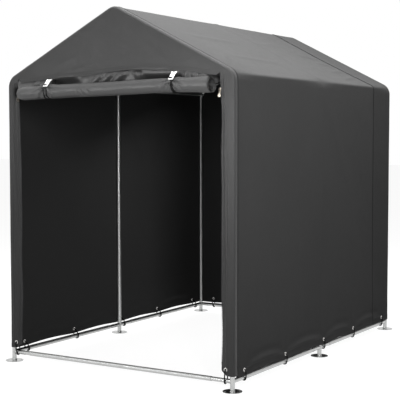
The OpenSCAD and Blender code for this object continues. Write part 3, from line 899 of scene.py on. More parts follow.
for high, waves, wander, upWaves, shift, start, end in frontSheet["wrinkles"]:
    line = inward * waves + wander * np.sin(h * upWaves + shift * side)
    wrinkle = wrinkle + high * np.sin(line) * smooth(start, end, inward)
wrinkle = wrinkle + frontSheet["flutter"] * inward ** 2 * np.sin(h * frontSheet["flutterWaves"] + side)
wrinkle = wrinkle + frontSheet["stripHem"] * (1 - smooth(*frontSheet["stripHemTop"], h - stripStart))
faceMove = faceMove + below * wrinkle
sideMove, sideLift = coverMove(frontPts, h, side)
frontPts = frontPts + frontOut * (sideMove * (1 - onFace) + faceMove * onFace)[..., None]
cornerLift = inward ** frontSheet["liftCurve"] * (1 - smooth(0, frontSheet["liftFade"], h - stripStart))
frontPts[..., 2] += sideLift * (1 - onFace) + frontSheet["lift"] * cornerLift
sway = frontSheet["sway"] * inward ** 2 * np.sin(h * frontSheet["swayWaves"] + 2 * side)
frontPts[..., 0] -= below * side * sway
pocket = smooth(*frontSheet["dentRise"], inward) * (1 - smooth(*frontSheet["dentFall"], inward)) * (side < 0)
dentZ = (rollLow.z + rollHigh.z - frontSheet["dentDrop"]) / 2
pocket = pocket * np.exp(-((frontPts[..., 2] - dentZ) / frontSheet["dentHigh"]) ** 2)
hang = frontSheet["curl"] * smooth(frontSheet["curlFrom"], 1.0, inward) * smooth(*frontSheet["curlFall"], -up)
frontPts[..., 1] += onFace * (hang + frontSheet["dent"] * below * pocket)
doorway = np.zeros((len(frontRows) - 1, len(onFace) - 1), bool)
doorway[:seamRow, doorCols[:-1] & doorCols[1:]] = True
cols = np.where(onFace == 1, frontPts[len(frontRows) // 4, :, 0], elsewhere)
frontEyelets = [s * frontSheet["eyeletX"] for s in (-1, 1)]
frontGaps = eyeletGaps(rowH[frontRows], cols, stripStart + eyeletSet["rise"], frontEyelets)
front = clothSheet("front_sheet", frontPts, frontOut, frontGaps | doorway, weld=True)
front.data.materials[0] = frontFabric
dress(front, "cover_fabric", "front_gable", "front_strip_left", "front_strip_right")
eyelets += gapCentres(frontPts, frontOut, frontGaps)
doorEdges = {-1: frontPts[:seamRow + 1, firstDoor], 1: frontPts[:seamRow + 1, lastDoor]}
print("front sheet", len(front.data.polygons), "faces,", len(eyelets), "eyelet places")


# the door, wound into a roll from its lower end and hung from behind the gable
rolledDoor = {
    "half": 0.620, "headHalf": 0.649, "radius": 0.0375, "pitch": 0.0027, "core": 0.0110,
    "outerSteps": 84, "innerSteps": 13,  # points round the outer turn, and round each turn inside it
    "step": 0.021, "endSteps": [0.008, 0.016, 0.032, 0.048],  # along the roll, as shares of its half length
    "tieStep": 0.0034, "tieSteps": 19, "pleatStep": 0.0066, "pleatReach": (-0.25, 0.20),
    "shrink": 0.0015, "ragged": 0.0045, "raggedTurn": 0.83,  # how the turns end unevenly
    # height of the roll above its middle, from left to right
    "rise": [(-0.62, -0.013), (-0.45, -0.008), (-0.2, -0.002), (0.0, 0.001), (0.3, 0.009), (0.62, 0.009)],
    "leftShort": 0.016, "ripple": 0.0015,
    "pinch": 0.0055, "pinchWide": 0.015,  # the ties draw the roll in
    "toggleTurn": math.radians(228),  # where the ties end, round the roll from its back
    # folds that fan out below each toggle: share, number in a turn, shift from tie to tie, start and end
    "pucker": 0.0060, "puckerReach": 0.068,
    "fan": [(1, 8, 0.9, 0.008, 0.022), (0.65, 17, 1, 0.016, 0.030)],
    "leftDraw": 0.0085, "leftDrawAt": -0.612, "leftDrawWide": 0.022,  # gathered left end
    "leftGathers": 0.0016, "leftGatherAt": -0.615, "leftGatherReach": 0.035,
    "rightLoose": 0.0040, "rightLooseFrom": (0.46, 0.60),
    # short slanting wrinkles across the underside: where, how far, share
    "strokes": [(-0.145, 0.055, 1), (-0.40, 0.035, 0.8), (0.47, 0.05, 0.4)],
    "stroke": 0.0030, "strokePitch": 0.034, "strokeSlant": 0.8,
    "strokeStart": (0.014, 0.034), "strokeEnd": (0.075, 0.095),
    # where the head hangs back behind the gable: from, to, how far, how softly it ends, where it starts
    "recess": [(-0.42, -0.24, 0.036, 0.05, 0.10), (0.18, 0.42, 0.050, 0.02, 0.28),
               (0.590, 0.72, 0.065, 0.02, 0.06)],
    # pleats where the door is gathered under the gable: top and foot across, half width
    "pleats": [(-0.042, -0.147, 0.034), (0.036, -0.096, 0.036), (0.118, -0.020, 0.036), (0.150, 0.220, 0.026),
               (0.455, 0.475, 0.011), (0.500, 0.525, 0.012), (0.555, 0.575, 0.010), (-0.50, -0.52, 0.016)],
    "pleatOut": 0.031, "plain": 0.006, "steepRight": 2.6, "steepLeft": 0.8,
    "pleatFall": (0.13, 0.38), "pleatEnd": (0.58, 0.78),  # from the head's top, 0, to its foot, 1
    "recessEase": 0.02, "recessFall": 0.45, "recessEnd": (0.86, 1.0), "sideHeld": 0.05,
    "headSteps": 19, "headNarrow": (0.92, 1.0), "headOver": 0.014, "headAhead": 0.0138, "headRipple": 0.0015,
    "thick": 0.0007, "forward": 0.001, "outerFade": (6.0, 7.5), "outerEnd": 2.2 * math.pi, "leftFolds": 8,
}
rollY = rollLow.y + rolledDoor["radius"] - rolledDoor["forward"]
rollZ = rollLow.z + rolledDoor["radius"]
tieLow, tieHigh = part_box("roll_ties")
tieR = 0.0025  # radius of the ties' cord
tieX = (tieLow.x + tieR, tieHigh.x - tieR)


def rollRise(x):
    places, rise = np.array(rolledDoor["rise"]).T
    return np.interp(x, places, rise)


def rollSwell(x, a):
    # how far the roll's surface stands off a plain spiral; a is 0 at the back, then under and up the front
    spots = np.stack([np.cos(a) * 0.9, x * 5.5, np.sin(a) * 0.9], -1)
    out = rolledDoor["ripple"] * rough(spots, 1.0, 6.0)
    outer = 1 - smooth(*rolledDoor["outerFade"], a)
    below = rolledDoor["radius"] * (rolledDoor["toggleTurn"] - a)  # down the front from the toggles
    for k, at in enumerate(tieX):
        d = x - at
        pinch = np.exp(-(d / rolledDoor["pinchWide"]) ** 2) * (0.75 + 0.25 * np.cos(a - math.pi))
        out = out - rolledDoor["pinch"] * pinch
        r, turn = np.hypot(d, below), np.arctan2(d, below)
        fan = sum(share * np.cos(number * turn + shift * k) * smooth(start, end, r)
                  for share, number, shift, start, end in rolledDoor["fan"])
        out = out + rolledDoor["pucker"] * fan * np.exp(-(r / rolledDoor["puckerReach"]) ** 2) * outer
    drawn = np.exp(-((x - rolledDoor["leftDrawAt"]) / rolledDoor["leftDrawWide"]) ** 2)
    gathers = np.exp(-(x - rolledDoor["leftGatherAt"]) / rolledDoor["leftGatherReach"])
    gathers = np.cos(rolledDoor["leftFolds"] * a) * gathers
    out = out - rolledDoor["leftDraw"] * drawn + rolledDoor["leftGathers"] * gathers
    out = out + rolledDoor["rightLoose"] * smooth(*rolledDoor["rightLooseFrom"], x)
    bias = sum(share * np.exp(-((x - at) / wide) ** 2) for at, wide, share in rolledDoor["strokes"])
    slant = x - rolledDoor["strokeSlant"] * below
    strokes = np.sin(2 * math.pi * slant / rolledDoor["strokePitch"] + 2 * np.sin(31 * x))
    band = smooth(*rolledDoor["strokeStart"], below) * (1 - smooth(*rolledDoor["strokeEnd"], below))
    return out + rolledDoor["stroke"] * outer * bias * strokes * band


tieSteps = rolledDoor["tieSteps"]
fineX = [at + k * rolledDoor["tieStep"] for at in tieX for k in range(-tieSteps, tieSteps + 1)]
fineX += list(np.arange(*rolledDoor["pleatReach"], rolledDoor["pleatStep"]))
rollEnds = [s * (1 - step) for s in (-1, 1) for step in rolledDoor["endSteps"]]
rollX = spread(-1, 1, rolledDoor["step"], rollEnds + [v / rolledDoor["half"] for v in fineX])
turns = (rolledDoor["radius"] - rolledDoor["core"]) / rolledDoor["pitch"]
outerEnd = rolledDoor["outerEnd"]
outerTurn = np.linspace(0, outerEnd, rolledDoor["outerSteps"])
innerTurn = spread(outerEnd, 2 * math.pi * turns, 2 * math.pi / rolledDoor["innerSteps"])[1:]
winding = np.concatenate([outerTurn, innerTurn])[:, None]
ragged = rolledDoor["ragged"] * np.sin(winding * rolledDoor["raggedTurn"] + np.sign(rollX)[None, :])
wound = rollX[None, :] * (rolledDoor["half"] - rolledDoor["shrink"] * winding / 6.28 + ragged)
wound = wound + rolledDoor["leftShort"] * np.clip(-rollX, 0, 1)[None, :]
radius = rolledDoor["radius"] - rolledDoor["pitch"] * winding / (2 * math.pi)
radius = radius + rollSwell(wound, np.broadcast_to(winding, wound.shape)) * (radius / rolledDoor["radius"])
spiral = np.stack([
    wound,
    rollY + radius * np.cos(winding),
    rollZ + rollRise(wound) - radius * np.sin(winding),
], -1)
spiralOut = np.stack([0 * wound, np.cos(winding) + 0 * wound, -np.sin(winding) + 0 * wound], -1)

headT = np.linspace(0, 1, rolledDoor["headSteps"])[:-1, None]
narrow = smooth(*rolledDoor["headNarrow"], headT)  # as wide as the doorway, and as the roll at its foot
headX = wound[0] * narrow + rollX * rolledDoor["headHalf"] * (1 - narrow)
headTop = gableEdge(headX) + rolledDoor["headOver"]
head = np.stack([
    headX,
    (frontY - rolledDoor["headAhead"]) * (1 - headT) + spiral[0, :, 1] * headT,
    headTop * (1 - headT) + spiral[0, :, 2] * headT,
], -1)
# pleats hang out over the roll's back
fall = smooth(*rolledDoor["pleatFall"], headT) * (1 - smooth(*rolledDoor["pleatEnd"], headT))
pleat, back = np.zeros(headX.shape), np.zeros(headX.shape)
loose = smooth(0.0, rolledDoor["sideHeld"], rolledDoor["headHalf"] - np.abs(headX))
for top, foot, wide in rolledDoor["pleats"]:
    along = (headX - top - (foot - top) * headT) / wide
    steep = np.where(along > 0, rolledDoor["steepRight"], rolledDoor["steepLeft"])
    pleat = np.maximum(pleat, np.exp(-along ** 2 * steep))
for start, end, deep, soften, starts in rolledDoor["recess"]:
    ease = rolledDoor["recessEase"]
    reach = smooth(start - ease, start + ease, headX) * (1 - smooth(end - soften, end + soften, headX))
    sink = smooth(starts, starts + rolledDoor["recessFall"], headT)
    sink = sink * (1 - smooth(*rolledDoor["recessEnd"], headT))
    back = np.maximum(back, deep * reach * sink)
    loose = np.minimum(loose, 1 - reach)
bulge = rolledDoor["plain"] + (rolledDoor["pleatOut"] - rolledDoor["plain"]) * pleat
head[..., 1] += back - loose * bulge * fall
head[..., 1] -= rolledDoor["headRipple"] * rough(head, 9.0, 8.0) * fall
doorPts = np.concatenate([head, spiral], 0)
doorOut = np.concatenate([np.broadcast_to([0, -1.0, 0], head.shape), spiralOut], 0)
door = clothSheet("rolled_door_cloth", doorPts, doorOut, thick=rolledDoor["thick"])
door.data.materials[0] = door.data.materials[1] = doorFabric
dress(door, "cover_fabric", "rolled_door")
print("rolled door", len(door.data.polygons), "faces")


# elastic ties round the roll, from behind the head to the toggles
def smoothPath(points, count, closed=False):
    # a rounded path through the points
    p = np.asarray(points, float)
    n = len(p)
    out = []
    spans = n if closed else n - 1
    per = max(2, count // spans)
    for k in range(spans):
        if closed:
            a, b, c, d = (p[(k + j) % n] for j in (-1, 0, 1, 2))
        else:
            a, b, c, d = p[max(k - 1, 0)], p[k], p[k + 1], p[min(k + 2, n - 1)]
        for t in np.arange(per) / per:
            square, cube = 2 * a - 5 * b + 4 * c - d, 3 * b - a - 3 * c + d
            out.append(0.5 * (2 * b + (c - a) * t + square * t * t + cube * t ** 3))
    return np.array(out if closed else out + [p[-1]])


doorTie = {
    "clear": 0.0030, "sunk": 0.0015, "start": np.radians(8), "past": 0.14, "steps": 44,
    # two strands for each tie: place at the toggle, shift under the roll
    "strands": (((-0.012, 0.008), (0.008, 0.005)), ((0.002, 0.004), (0.009, 0.012))),
    "behind": 0.0095, "over": 0.010, "under": 0.030,  # the strands start behind the gable
    "turnOut": 0.001, "turnUp": 0.008, "turnSteps": 18, "bightSteps": 24,
    "shiftFade": (1.2, 3.6),  # angles round the roll
    "toggleFoot": (0, 0.001, 0.0045), "toggleTop": (0.0265, 0.014),  # top: ahead of the arch, over the edge
    # the strands meet in a bight through the toggle's slot
    "bight": [(-0.008, -0.0035, 0.0045), (0.0, -0.0045, 0.0050), (0.006, -0.0035, 0.0045)],
}
tiePaths, toggleSeats = [], []
tieEnd = rolledDoor["toggleTurn"] + doorTie["past"]


def onRoll(reach, angle, rise):
    # distance along and height of a place round the roll
    return rollY + reach * np.cos(angle), rollZ + rise - reach * np.sin(angle)


for at, strands in zip(tieX, doorTie["strands"]):
    rise, edge = rollRise(at), gableEdge(at)
    for start, shift in strands:
        angles = doorTie["start"] + (tieEnd - doorTie["start"]) * np.linspace(0, 1, doorTie["steps"])
        across = at + start + shift * (1 - smooth(*doorTie["shiftFade"], angles))
        reach = rolledDoor["radius"] - rolledDoor["pitch"] * angles / (2 * math.pi)
        reach = reach + rollSwell(across[None], angles[None])[0] + doorTie["clear"]
        ring = np.stack([across, *onRoll(reach, angles, rise)], -1)
        behind = frontY - doorTie["behind"]
        back = smoothPath([
            (across[0], behind, edge + doorTie["over"]), (across[0], behind, edge - doorTie["under"]),
            (across[0], rollY + reach[0] + doorTie["turnOut"], rollZ + rise + doorTie["turnUp"]), ring[0],
        ], doorTie["turnSteps"])
        tiePaths.append(np.concatenate([back[:-1], ring]))
    reach = rolledDoor["radius"] + doorTie["clear"] - doorTie["sunk"]
    seat = np.array([at, *onRoll(reach, tieEnd, rise)])
    ahead, over = doorTie["toggleTop"]
    toggleSeats.append((seat + doorTie["toggleFoot"], np.array([at, frontY - ahead, edge + over])))
    bight = [tiePaths[-2][-1], *(seat + spot for spot in doorTie["bight"]), tiePaths[-1][-1]]
    tiePaths.append(smoothPath(bight, doorTie["bightSteps"]))
ties = tubeMesh("door_ties", tiePaths, tieR, elasticCord, sides=10, closed=False)
dress(ties, "elastic_cord", "roll_ties")


# toggles: slotted plastic tabs that lean back from the roll to the gable's edge
def flatPiece(name, outline, holes, deep, bevel, material):
    # a plate cut from outlines in its own plane, with rounded edges
    curve = bpy.data.curves.new(name, "CURVE")
    curve.dimensions, curve.fill_mode = "2D", "BOTH"
    curve.extrude, curve.bevel_depth, curve.bevel_resolution = deep / 2 - bevel, bevel, 2
    for ring in [outline] + holes:
        spline = curve.splines.new("POLY")
        spline.points.add(len(ring) - 1)
        for point, (px, py) in zip(spline.points, ring):
            point.co = (px, py, 0, 1)
        spline.use_cyclic_u = True
    piece = bpy.data.objects.new(name, curve)
    scene.collection.objects.link(piece)
    bpy.context.view_layer.update()
    mesh = bpy.data.meshes.new_from_object(piece.evaluated_get(bpy.context.evaluated_depsgraph_get()))
    bpy.data.objects.remove(piece)
    mesh.materials.clear()
    mesh.materials.append(material)
    return mesh


def placeMesh(mesh, across, upward, origin):
    a, u = Vector(across).normalized(), Vector(upward).normalized()
    n = a.cross(u)
    mesh.transform(Matrix.Translation(Vector(origin)) @ Matrix((a, u, n)).transposed().to_4x4())
    return mesh


def joinMeshes(name, meshes):
    bm = bmesh.new()
    for mesh in meshes:
        bm.from_mesh(mesh)
    bmesh.ops.remove_doubles(bm, verts=bm.verts, dist=1e-6)
    joined = bpy.data.meshes.new(name)
    bm.to_mesh(joined)
    bm.free()
    joined.materials.append(meshes[0].materials[0])
    joined.shade_smooth()
    joined.set_sharp_from_angle(angle=math.radians(35))
    return linkPiece(name, joined)


toggle = {
    "wide": 0.030, "long": 0.054, "thick": 0.0050, "bevel": 0.0011, "waist": 0.0235,
    "slotLong": 0.0115, "slotAt": 0.0125, "slotRound": 0.002, "rim": 0.0045, "lift": 0.0005,
}


def bothSides(right, count):
    # a closed outline from points down its right side, rounded and mirrored to the left
    ring = [tuple(p) for p in smoothPath(right, count)]
    return ring + [(-p[0], p[1]) for p in ring[-2:0:-1]]


def toggleOutline():
    # a tab with a flared end and a slot near its foot that opens to the left
    w, l, waist = toggle["wide"] / 2, toggle["long"], toggle["waist"] / 2
    low, high = toggle["slotAt"] - toggle["slotLong"] / 2, toggle["slotAt"] + toggle["slotLong"] / 2
    right = [
        (0.0, 0.0), (waist * 0.8, 0.0), (waist, 0.0025), (waist, l * 0.50), (waist * 1.03, l * 0.68),
        (w * 0.98, l * 0.86), (w * 1.05, l * 0.975), (w * 0.98, l), (w * 0.72, l * 0.972),
        (w * 0.35, l * 0.945), (0, l * 0.935),
    ]
    ring = bothSides(right, 40)
    half = len(ring) // 2 + 1
    left, end, bend = ring[half:], waist - toggle["rim"], toggle["slotRound"]
    notch = [
        (-waist, high), (end - bend, high), (end, high - bend),
        (end, low + bend), (end - bend, low), (-waist, low),
    ]
    return ring[:half] + [p for p in left if p[1] > high] + notch + [p for p in left if p[1] < low]


def slotOutline(wide, high, at, count=8):
    r = high / 2
    ends = []
    for side in (1, -1):
        for k in range(count + 1):
            a = -math.pi / 2 + math.pi * k / count
            ends.append((side * (wide / 2 - r + r * math.cos(a)), at + side * r * math.sin(a)))
    return ends


toggleMeshes = []
for low, high in toggleSeats:
    leaning = high - low
    leaning[0] = 0
    leaning /= np.linalg.norm(leaning)
    tab = flatPiece("tab", toggleOutline(), [], toggle["thick"], toggle["bevel"], whitePlastic)
    start = low - leaning * toggle["slotAt"] + np.cross([1, 0, 0], leaning) * toggle["lift"]
    toggleMeshes.append(placeMesh(tab, (1, 0, 0), leaning, start))
toggles = joinMeshes("door_toggles", toggleMeshes)
dress(toggles, "white_plastic", "roll_toggles")
print("ties and toggles ready")


# zips along the doorway: teeth on each strip, a slider and a pull at the top
zipper = {
    "tooth": (0.0016, 0.0042, 0.0022), "pitch": 0.0026, "top": 1.50, "foot": 0.05, "in": 0.0020,
    "toothIn": 0.0022, "toothBack": 0.0004, "bevel": 0.0005,
    # right half of each outline, from the middle round to the middle
    "slider": [(0.0, 0.0100), (0.0042, 0.0098), (0.0064, 0.0062), (0.0058, 0.0), (0.0044, -0.0062),
               (0.0036, -0.0096), (0.0, -0.0100)],
    "pull": [(0.0, 0.0), (0.0030, -0.0006), (0.0040, -0.0045), (0.0042, -0.014), (0.0062, -0.022),
             (0.0082, -0.030), (0.0086, -0.035), (0.0062, -0.0395), (0.0, -0.0408)],
    "plate": 0.0018, "plates": (-0.0044, 0.0030),  # thickness, and where the slider's two plates stand
    "bridge": 0.0030, "bridgeOut": -0.0066,
    "tag": 0.0020, "tagBevel": 0.0006, "tagOut": -0.0088, "tagUp": 0.0042,
    # slots as width, height, place and steps; the round hole as radius and place
    "bridgeOutline": (0.0100, 0.0034, 0.0), "bridgeSlot": (0.0064, 0.0016, 0.0, 4),
    "tagHole": (0.0030, -0.0335), "tagSlot": (0.0042, 0.0030, -0.0036, 5),
    # the way across each tag; the left one hangs edge on to the doorway
    "tagFaces": {-1: (0.30, 0.95, 0), 1: (0.97, -0.2, 0)}, "tagLean": (0.04, 0.03),
}
toothLines, pullMeshes, sliderMeshes = [], [], []
for sign, edge in doorEdges.items():
    step = np.array([-sign * zipper["toothIn"], zipper["toothBack"], 0])
    line = edge[edge[:, 2] > stripHemZ + zipper["foot"]] + step
    toothLines.append((line, np.broadcast_to([0, -1.0, 0], line.shape), False))
zipTeeth = grains("zip_teeth", toothLines, zipper["pitch"], zipper["tooth"], zipNylon)
dress(zipTeeth, "cover_fabric")


def roundOutline(radius, at, count=16):
    turns = [2 * math.pi * k / count for k in range(count)]
    return [(radius * math.cos(a), at + radius * math.sin(a)) for a in turns]


bridgeHoles = [slotOutline(*zipper["bridgeSlot"])]
pullHoles = [roundOutline(*zipper["tagHole"]), slotOutline(*zipper["tagSlot"])]
leanX, leanY = zipper["tagLean"]
for sign, edge in doorEdges.items():
    top = np.array([np.interp(zipper["top"], edge[:, 2], edge[:, k]) for k in range(3)])
    top[0] -= sign * zipper["in"]
    for stand in zipper["plates"]:
        plate = flatPiece("plate", bothSides(zipper["slider"], 30), [],
                          zipper["plate"], zipper["bevel"], zipMetal)
        sliderMeshes.append(placeMesh(plate, (1, 0, 0), (0, 0, 1), top + [0, stand, 0]))
    bridge = flatPiece("bridge", slotOutline(*zipper["bridgeOutline"]), bridgeHoles,
                       zipper["bridge"], zipper["bevel"], zipMetal)
    sliderMeshes.append(placeMesh(bridge, (0, 0, 1), (0, -1, 0), top + [0, zipper["bridgeOut"], 0]))
    tag = flatPiece("tag", bothSides(zipper["pull"], 40), pullHoles,
                    zipper["tag"], zipper["tagBevel"], zipMetal)
    hook = top + [0, zipper["tagOut"], zipper["tagUp"]]
    pullMeshes.append(placeMesh(tag, zipper["tagFaces"][sign], (leanX * sign, leanY, 1), hook))
zipPulls = joinMeshes("zip_sliders", sliderMeshes + pullMeshes)
dress(zipPulls, "plated_metal", "zip_pulls")
print("zips ready")


# eyelets and the elastic loops that hold the hems to the base rails
ringPlaces = ([spot + n * eyeletSet["proud"] for spot, n in eyelets], [n for spot, n in eyelets], False)
rings = nodePiece("hem_eyelets", onPoints, [ringPlaces], {
    "Ring radius": eyeletSet["ring"], "Rim radius": eyeletSet["rim"], "Flatness": eyeletSet["flat"],
    "Finish": nickelPlate,
})
dress(rings, "plated_metal", "eyelets")

hemCord = {
    "radius": 0.0033, "clear": 0.0004, "armR": 0.0112, "armLen": 0.120,
    "leans": (0.016, 0.012, 0.019, 0.013, 0.015, 0.010), "frontLeans": {-1: 0.0, 1: -0.010},
}


def loopRoute(away, drop, reach):
    # out of the eyelet, down the rail's front, under it and up its back, as (outward, up) from its axis
    return [
        (away, drop), (away + 0.0058, drop - 0.001), (reach + 0.0045, drop * 0.55), (reach, 0.0),
        (reach * 0.62, -reach * 0.80), (0.0, -reach * 1.01), (-reach * 0.75, -reach * 0.68),
        (-reach, 0.004), (-reach * 0.45, drop * 0.62), (away - 0.0060, drop - 0.002),
    ]


cordPaths = []
for k, (spot, normal) in enumerate(eyelets):
    outward = Vector((normal[0], normal[1], 0)).normalized()
    along = Vector((abs(outward.y), abs(outward.x), 0))
    hole, sign = Vector(spot), int(math.copysign(1, spot[0]))
    lean = hemCord["leans"][k % len(hemCord["leans"])]
    # the rail's axis straight below the eyelet, and how far away the nearest post is
    if abs(outward.x) > 0.7:
        railAt = Vector((sign * span, hole.y, railZ))
        toPost = min(abs(hole.y - at) for at in (frontY, midY, rearY))
    else:
        railAt = Vector((hole.x, rearY if outward.y > 0 else frontY, railZ))
        toPost = abs(abs(hole.x) - span)
        if outward.y < 0:
            lean = hemCord["frontLeans"][sign]  # the right front loop leans towards the doorway
    reach = hemCord["armR"] if toPost < hemCord["armLen"] else tubeR
    reach += hemCord["radius"] + hemCord["clear"]
    drop, away = hole.z - railZ, (hole - railAt).dot(outward)
    path = []
    for out, z in loopRoute(away, drop, reach):
        slant = along * lean * max(0.0, (drop - z) / (drop + reach))
        path.append(tuple(railAt + outward * out + Vector((0, 0, z)) + slant))
    cordPaths.append(smoothPath(path, 50, closed=True))
cords = tubeMesh("hem_cords", cordPaths, hemCord["radius"], elasticCord, sides=8)
dress(cords, "elastic_cord", "hem_loops")
print("eyelets and loops ready,", len(cordPaths))


# binding tapes over the seams where the end sheets lie on the main cover; their near-black tone also paints
# the shadow line at each seam's step (painted shade)
tape = {
    "steps": 4, "thick": 0.0008, "crown": 0.0006,
    "rear": (-0.0030, 0.0030, 0.0010), "front": (-0.0035, 0.0020, 0.0009),  # from, to, how far it stands off
}


def tapeAlong(name, seam, off, edges):
    start, end, proud = edges
    pts, normals = shapeCover(np.linspace(seam + start, seam + end, tape["steps"]), off + proud)
    crown = np.sin(np.linspace(0, math.pi, tape["steps"])) * tape["crown"]
    piece = clothSheet(name, pts + normals * crown[None, :, None], normals, thick=tape["thick"])
    piece.data.materials[0] = piece.data.materials[1] = seamTapeShade
    return dress(piece, "cover_fabric")


frontSeam = frontY + frontSheet["wrap"]
rearTape = tapeAlong("rear_seam_tape", seamY, cloth["capOff"], tape["rear"])
frontTape = tapeAlong("front_seam_tape", frontSeam, frontSheet["off"], tape["front"])


# stitching along the hems, the seams and the door's edges
stitch = {
    "pitch": 0.0062, "size": (0.0044, 0.0010, 0.0009),
    "proud": 0.0002, "faceProud": 0.0004, "edgeProud": 0.0003,  # how far the thread stands off the cloth
    "hemRows": (0.006, 0.0385),  # up from the hem
    "rearRows": (0.010, 0.018), "frontRow": 0.019, "half": 0.001,  # back from the seam or the arch
    "gableRow": 2, "edgeCol": 2,  # rows and columns in from the free edges
}


def rowLine(pts, normals, places, at):
    k = int(np.searchsorted(places, at)) - 1
    t = (at - places[k]) / (places[k + 1] - places[k])
    line, up = pts[k] * (1 - t) + pts[k + 1] * t, normals[k] * (1 - t) + normals[k + 1] * t
    return line + up * stitch["proud"], up, False


def acrossLine(y, off):
    pts, normals = shapeCover(np.array([y - stitch["half"], y + stitch["half"]]), off)
    return pts[:, 0] + normals[:, 0] * stitch["proud"], normals[:, 0], False


def faceLine(points, proud):
    return points + np.array([0, -proud, 0]), np.broadcast_to([0, -1.0, 0], points.shape), False


seams = []
hemmed = [(coverPts, coverNormals), (coverPts[::-1], coverNormals[::-1]), (rearPts, rearOut)]
for at in stitch["hemRows"]:
    seams += [rowLine(pts, normals, rowH, at) for pts, normals in hemmed]
seams += [acrossLine(seamY + back, cloth["capOff"] + stitch["proud"]) for back in stitch["rearRows"]]
seams.append(acrossLine(frontY + stitch["frontRow"], frontSheet["off"]))
seams.append(faceLine(frontPts[seamRow + stitch["gableRow"], doorCols], stitch["faceProud"]))
for col in (firstDoor - stitch["edgeCol"], lastDoor + stitch["edgeCol"]):
    seams.append(faceLine(frontPts[:seamRow, col], stitch["edgeProud"]))
threads = grains("seam_stitches", seams, stitch["pitch"], stitch["size"], sewingThread)
dress(threads, "cover_fabric")
print("stitching", len(threads.data.polygons), "faces")


# weld beads round the sockets and stubs of the steel connectors
weld = {
    "pitch": 0.0021, "bead": (0.0032, 0.0036, 0.0030), "steps": 28,
    "armR": 0.0112, "plateTop": 0.003, "toe": 0.0008, "tilt": 0.8,
}
weldTurns = [2 * math.pi * k / weld["steps"] for k in range(weld["steps"])]


def ringLine(centre, axis, radius):
    axis = Vector(axis).normalized()
    a = axis.orthogonal().normalized()
    b = axis.cross(a)
    ways = [a * math.cos(turn) + b * math.sin(turn) for turn in weldTurns]
    points = [tuple(Vector(centre) + way * radius) for way in ways]
    return points, [tuple((way + axis * weld["tilt"]).normalized()) for way in ways], True


def saddleLine(centre, axis, branch, bodyR, branchR):
    # where a branch tube of branchR meets a body tube of bodyR
    axis, branch = Vector(axis).normalized(), Vector(branch).normalized()
    other = axis.cross(branch)
    pts, ups = [], []
    for a in weldTurns:
        off = branchR * math.cos(a)
        deep = math.sqrt(max(bodyR ** 2 - min(abs(off), bodyR * 0.999) ** 2, 0))
        pts.append(tuple(Vector(centre) + branch * deep + other * off + axis * branchR * math.sin(a)))
        ups.append(tuple((other * math.cos(a) + axis * math.sin(a) + branch * weld["tilt"]).normalized()))
    return pts, ups, True


beads = []
armR = weld["armR"]
for post in ("front", "middle", "rear"):
    lengthwise = [(0, 1, 0)] * (post != "rear") + [(0, -1, 0)] * (post != "front")
    for name, sign in (("left", -1), ("right", 1)):
        at = middle("post_%s_%s" % (post, name))
        beads.append(ringLine((at.x, at.y, weld["plateTop"]), (0, 0, 1), tubeR + weld["toe"]))
        headings = lengthwise + [(-sign, 0, 0)] * (post != "middle")
        beads += [saddleLine((at.x, at.y, railZ), (0, 0, 1), way, tubeR, armR) for way in headings]
        bendAxis = (-sign * math.sin(phi / 2), 0, math.cos(phi / 2))
        corner = (sign * eave.x, at.y, eave.z)
        beads += [saddleLine(corner, bendAxis, way, armR, armR) for way in lengthwise]
    beads += [saddleLine((0, at.y, ridge.z), (1, 0, 0), way, armR, armR) for way in lengthwise]
welds = grains("weld_beads", beads, weld["pitch"], weld["bead"], weldSteel)
dress(welds, "galvanised_steel")

# the feet get the darker foot steel, partly painted shade for their dark reflections
for node, piece in frame["nodes"].items():
    if not piece.hide_render:
        piece.data.materials.clear()
        piece.data.materials.append(footSteel if node.startswith("foot") else galvanised)
print("steel finished, welds", len(welds.data.polygons), "faces")


# camera at the photograph's viewing angle
cameraSet = {"lens": 95.25, "place": (3.296, -5.5163, 1.268), "pitch": 3.415, "turn": 31.504}
camera = bpy.data.objects.new("camera", bpy.data.cameras.new("camera"))
scene.collection.objects.link(camera)
camera.data.lens, camera.data.sensor_width = cameraSet["lens"], 36.0
camera.location = cameraSet["place"]
camera.rotation_euler = (math.radians(90 - cameraSet["pitch"]), 0, math.radians(cameraSet["turn"]))
scene.camera = camera


# soft studio light, with a white floor and surroundings
studio = {
    "ambient": 0.03, "floorGlow": 0.94, "floorTone": 0.20,
    # name, place, aim, size, watts, spread of the beam, whether it shows in the shine of the cloth
    "lamps": [
        ("front", (-1.9, -4.4, 1.55), (0, -1.05, 1.6), (1.8, 0.45), 9.3, 70, True),
        ("corner", (2.3, -2.9, 1.75), (0.7, -1.0, 1.45), (0.35, 1.8), 14.0, 90, True),
        ("side", (1.9, 0.3, 2.9), (0.72, 0.3, 1.4), (2.8, 0.6), 12.5, 100, False),
        ("top", (0.2, -0.7, 4.8), (0, -0.2, 1.6), (1.8, 1.8), 385, 180, False),
        ("strip", (0.84, -2.0, 1.60), (0.69, -1.0, 1.20), (0.10, 0.5), 0.9, 60, False),
        ("inside", (0, 0.1, 1.45), (0.15, 0.5, 0), (0.8, 0.8), 3.5, 180, False),
        ("left", (-4.2, 0.6, 1.4), (-0.72, 0.1, 0.9), (2.6, 1.6), 70, 180, False),
        ("rear", (-2.3, 3.6, 2.0), (0, 1.05, 1.0), (0.8, 1.2), 66, 180, False),
    ],
}


def whiteRays(tree):
    # 1 for rays that should see plain white, 0 for the soft light on the object
    path = tree.nodes.new("ShaderNodeLightPath")
    last = path.outputs["Is Camera Ray"]
    for label in ("Is Glossy Ray", "Is Transmission Ray"):
        either = addNode(tree, "ShaderNodeMath", operation="MAXIMUM")
        tree.links.new(last, either.inputs[0])
        tree.links.new(path.outputs[label], either.inputs[1])
        last = either.outputs["Value"]
    return last


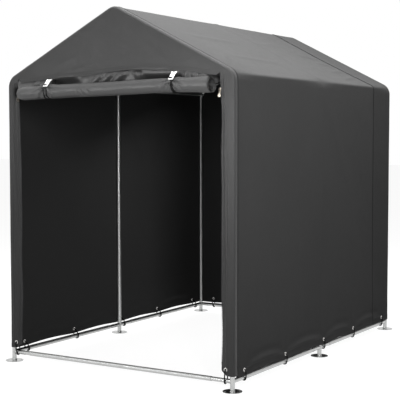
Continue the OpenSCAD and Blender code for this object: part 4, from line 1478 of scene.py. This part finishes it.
world = bpy.data.worlds.new("studio")
scene.world = world
world.use_nodes = True
tree = world.node_tree
tree.nodes.clear()
dim = addNode(tree, "ShaderNodeBackground", Color=(1, 1, 1, 1), Strength=studio["ambient"])
white = addNode(tree, "ShaderNodeBackground", Color=(1, 1, 1, 1), Strength=1.0)
either, output = tree.nodes.new("ShaderNodeMixShader"), tree.nodes.new("ShaderNodeOutputWorld")
tree.links.new(whiteRays(tree), either.inputs["Fac"])
tree.links.new(dim.outputs["Background"], either.inputs[1])
tree.links.new(white.outputs["Background"], either.inputs[2])
tree.links.new(either.outputs["Shader"], output.inputs["Surface"])

floorMesh = bpy.data.meshes.new("floor")
floorMesh.from_pydata([(-40, -40, 0), (40, -40, 0), (40, 40, 0), (-40, 40, 0)], [], [(0, 1, 2, 3)])
floor = linkPiece("floor", floorMesh)
paper = bpy.data.materials.new("floor_paper")
paper.use_nodes = True
tree = paper.node_tree
tree.nodes.clear()
matt = addNode(tree, "ShaderNodeBsdfDiffuse", Color=(*[studio["floorTone"]] * 3, 1))
glow = addNode(tree, "ShaderNodeEmission", Color=(1, 1, 1, 1))
level = addNode(tree, "ShaderNodeMath", operation="MULTIPLY")
level.inputs[1].default_value = studio["floorGlow"]
both, output = tree.nodes.new("ShaderNodeAddShader"), tree.nodes.new("ShaderNodeOutputMaterial")
tree.links.new(whiteRays(tree), level.inputs[0])
tree.links.new(level.outputs["Value"], glow.inputs["Strength"])
tree.links.new(matt.outputs["BSDF"], both.inputs[0])
tree.links.new(glow.outputs["Emission"], both.inputs[1])
tree.links.new(both.outputs["Shader"], output.inputs["Surface"])
floorMesh.materials.append(paper)

for name, place, aim, size, watts, beam, shows in studio["lamps"]:
    lamp = bpy.data.lights.new(name, "AREA")
    lamp.shape, lamp.energy = "RECTANGLE", watts
    lamp.size, lamp.size_y = size
    lamp.spread = math.radians(beam)
    holder = bpy.data.objects.new(name, lamp)
    scene.collection.objects.link(holder)
    holder.location = place
    holder.rotation_euler = (Vector(aim) - Vector(place)).to_track_quat("-Z", "Y").to_euler()
    holder.visible_camera, holder.visible_glossy = False, shows
scene.view_settings.view_transform = "Standard"
print("studio ready")
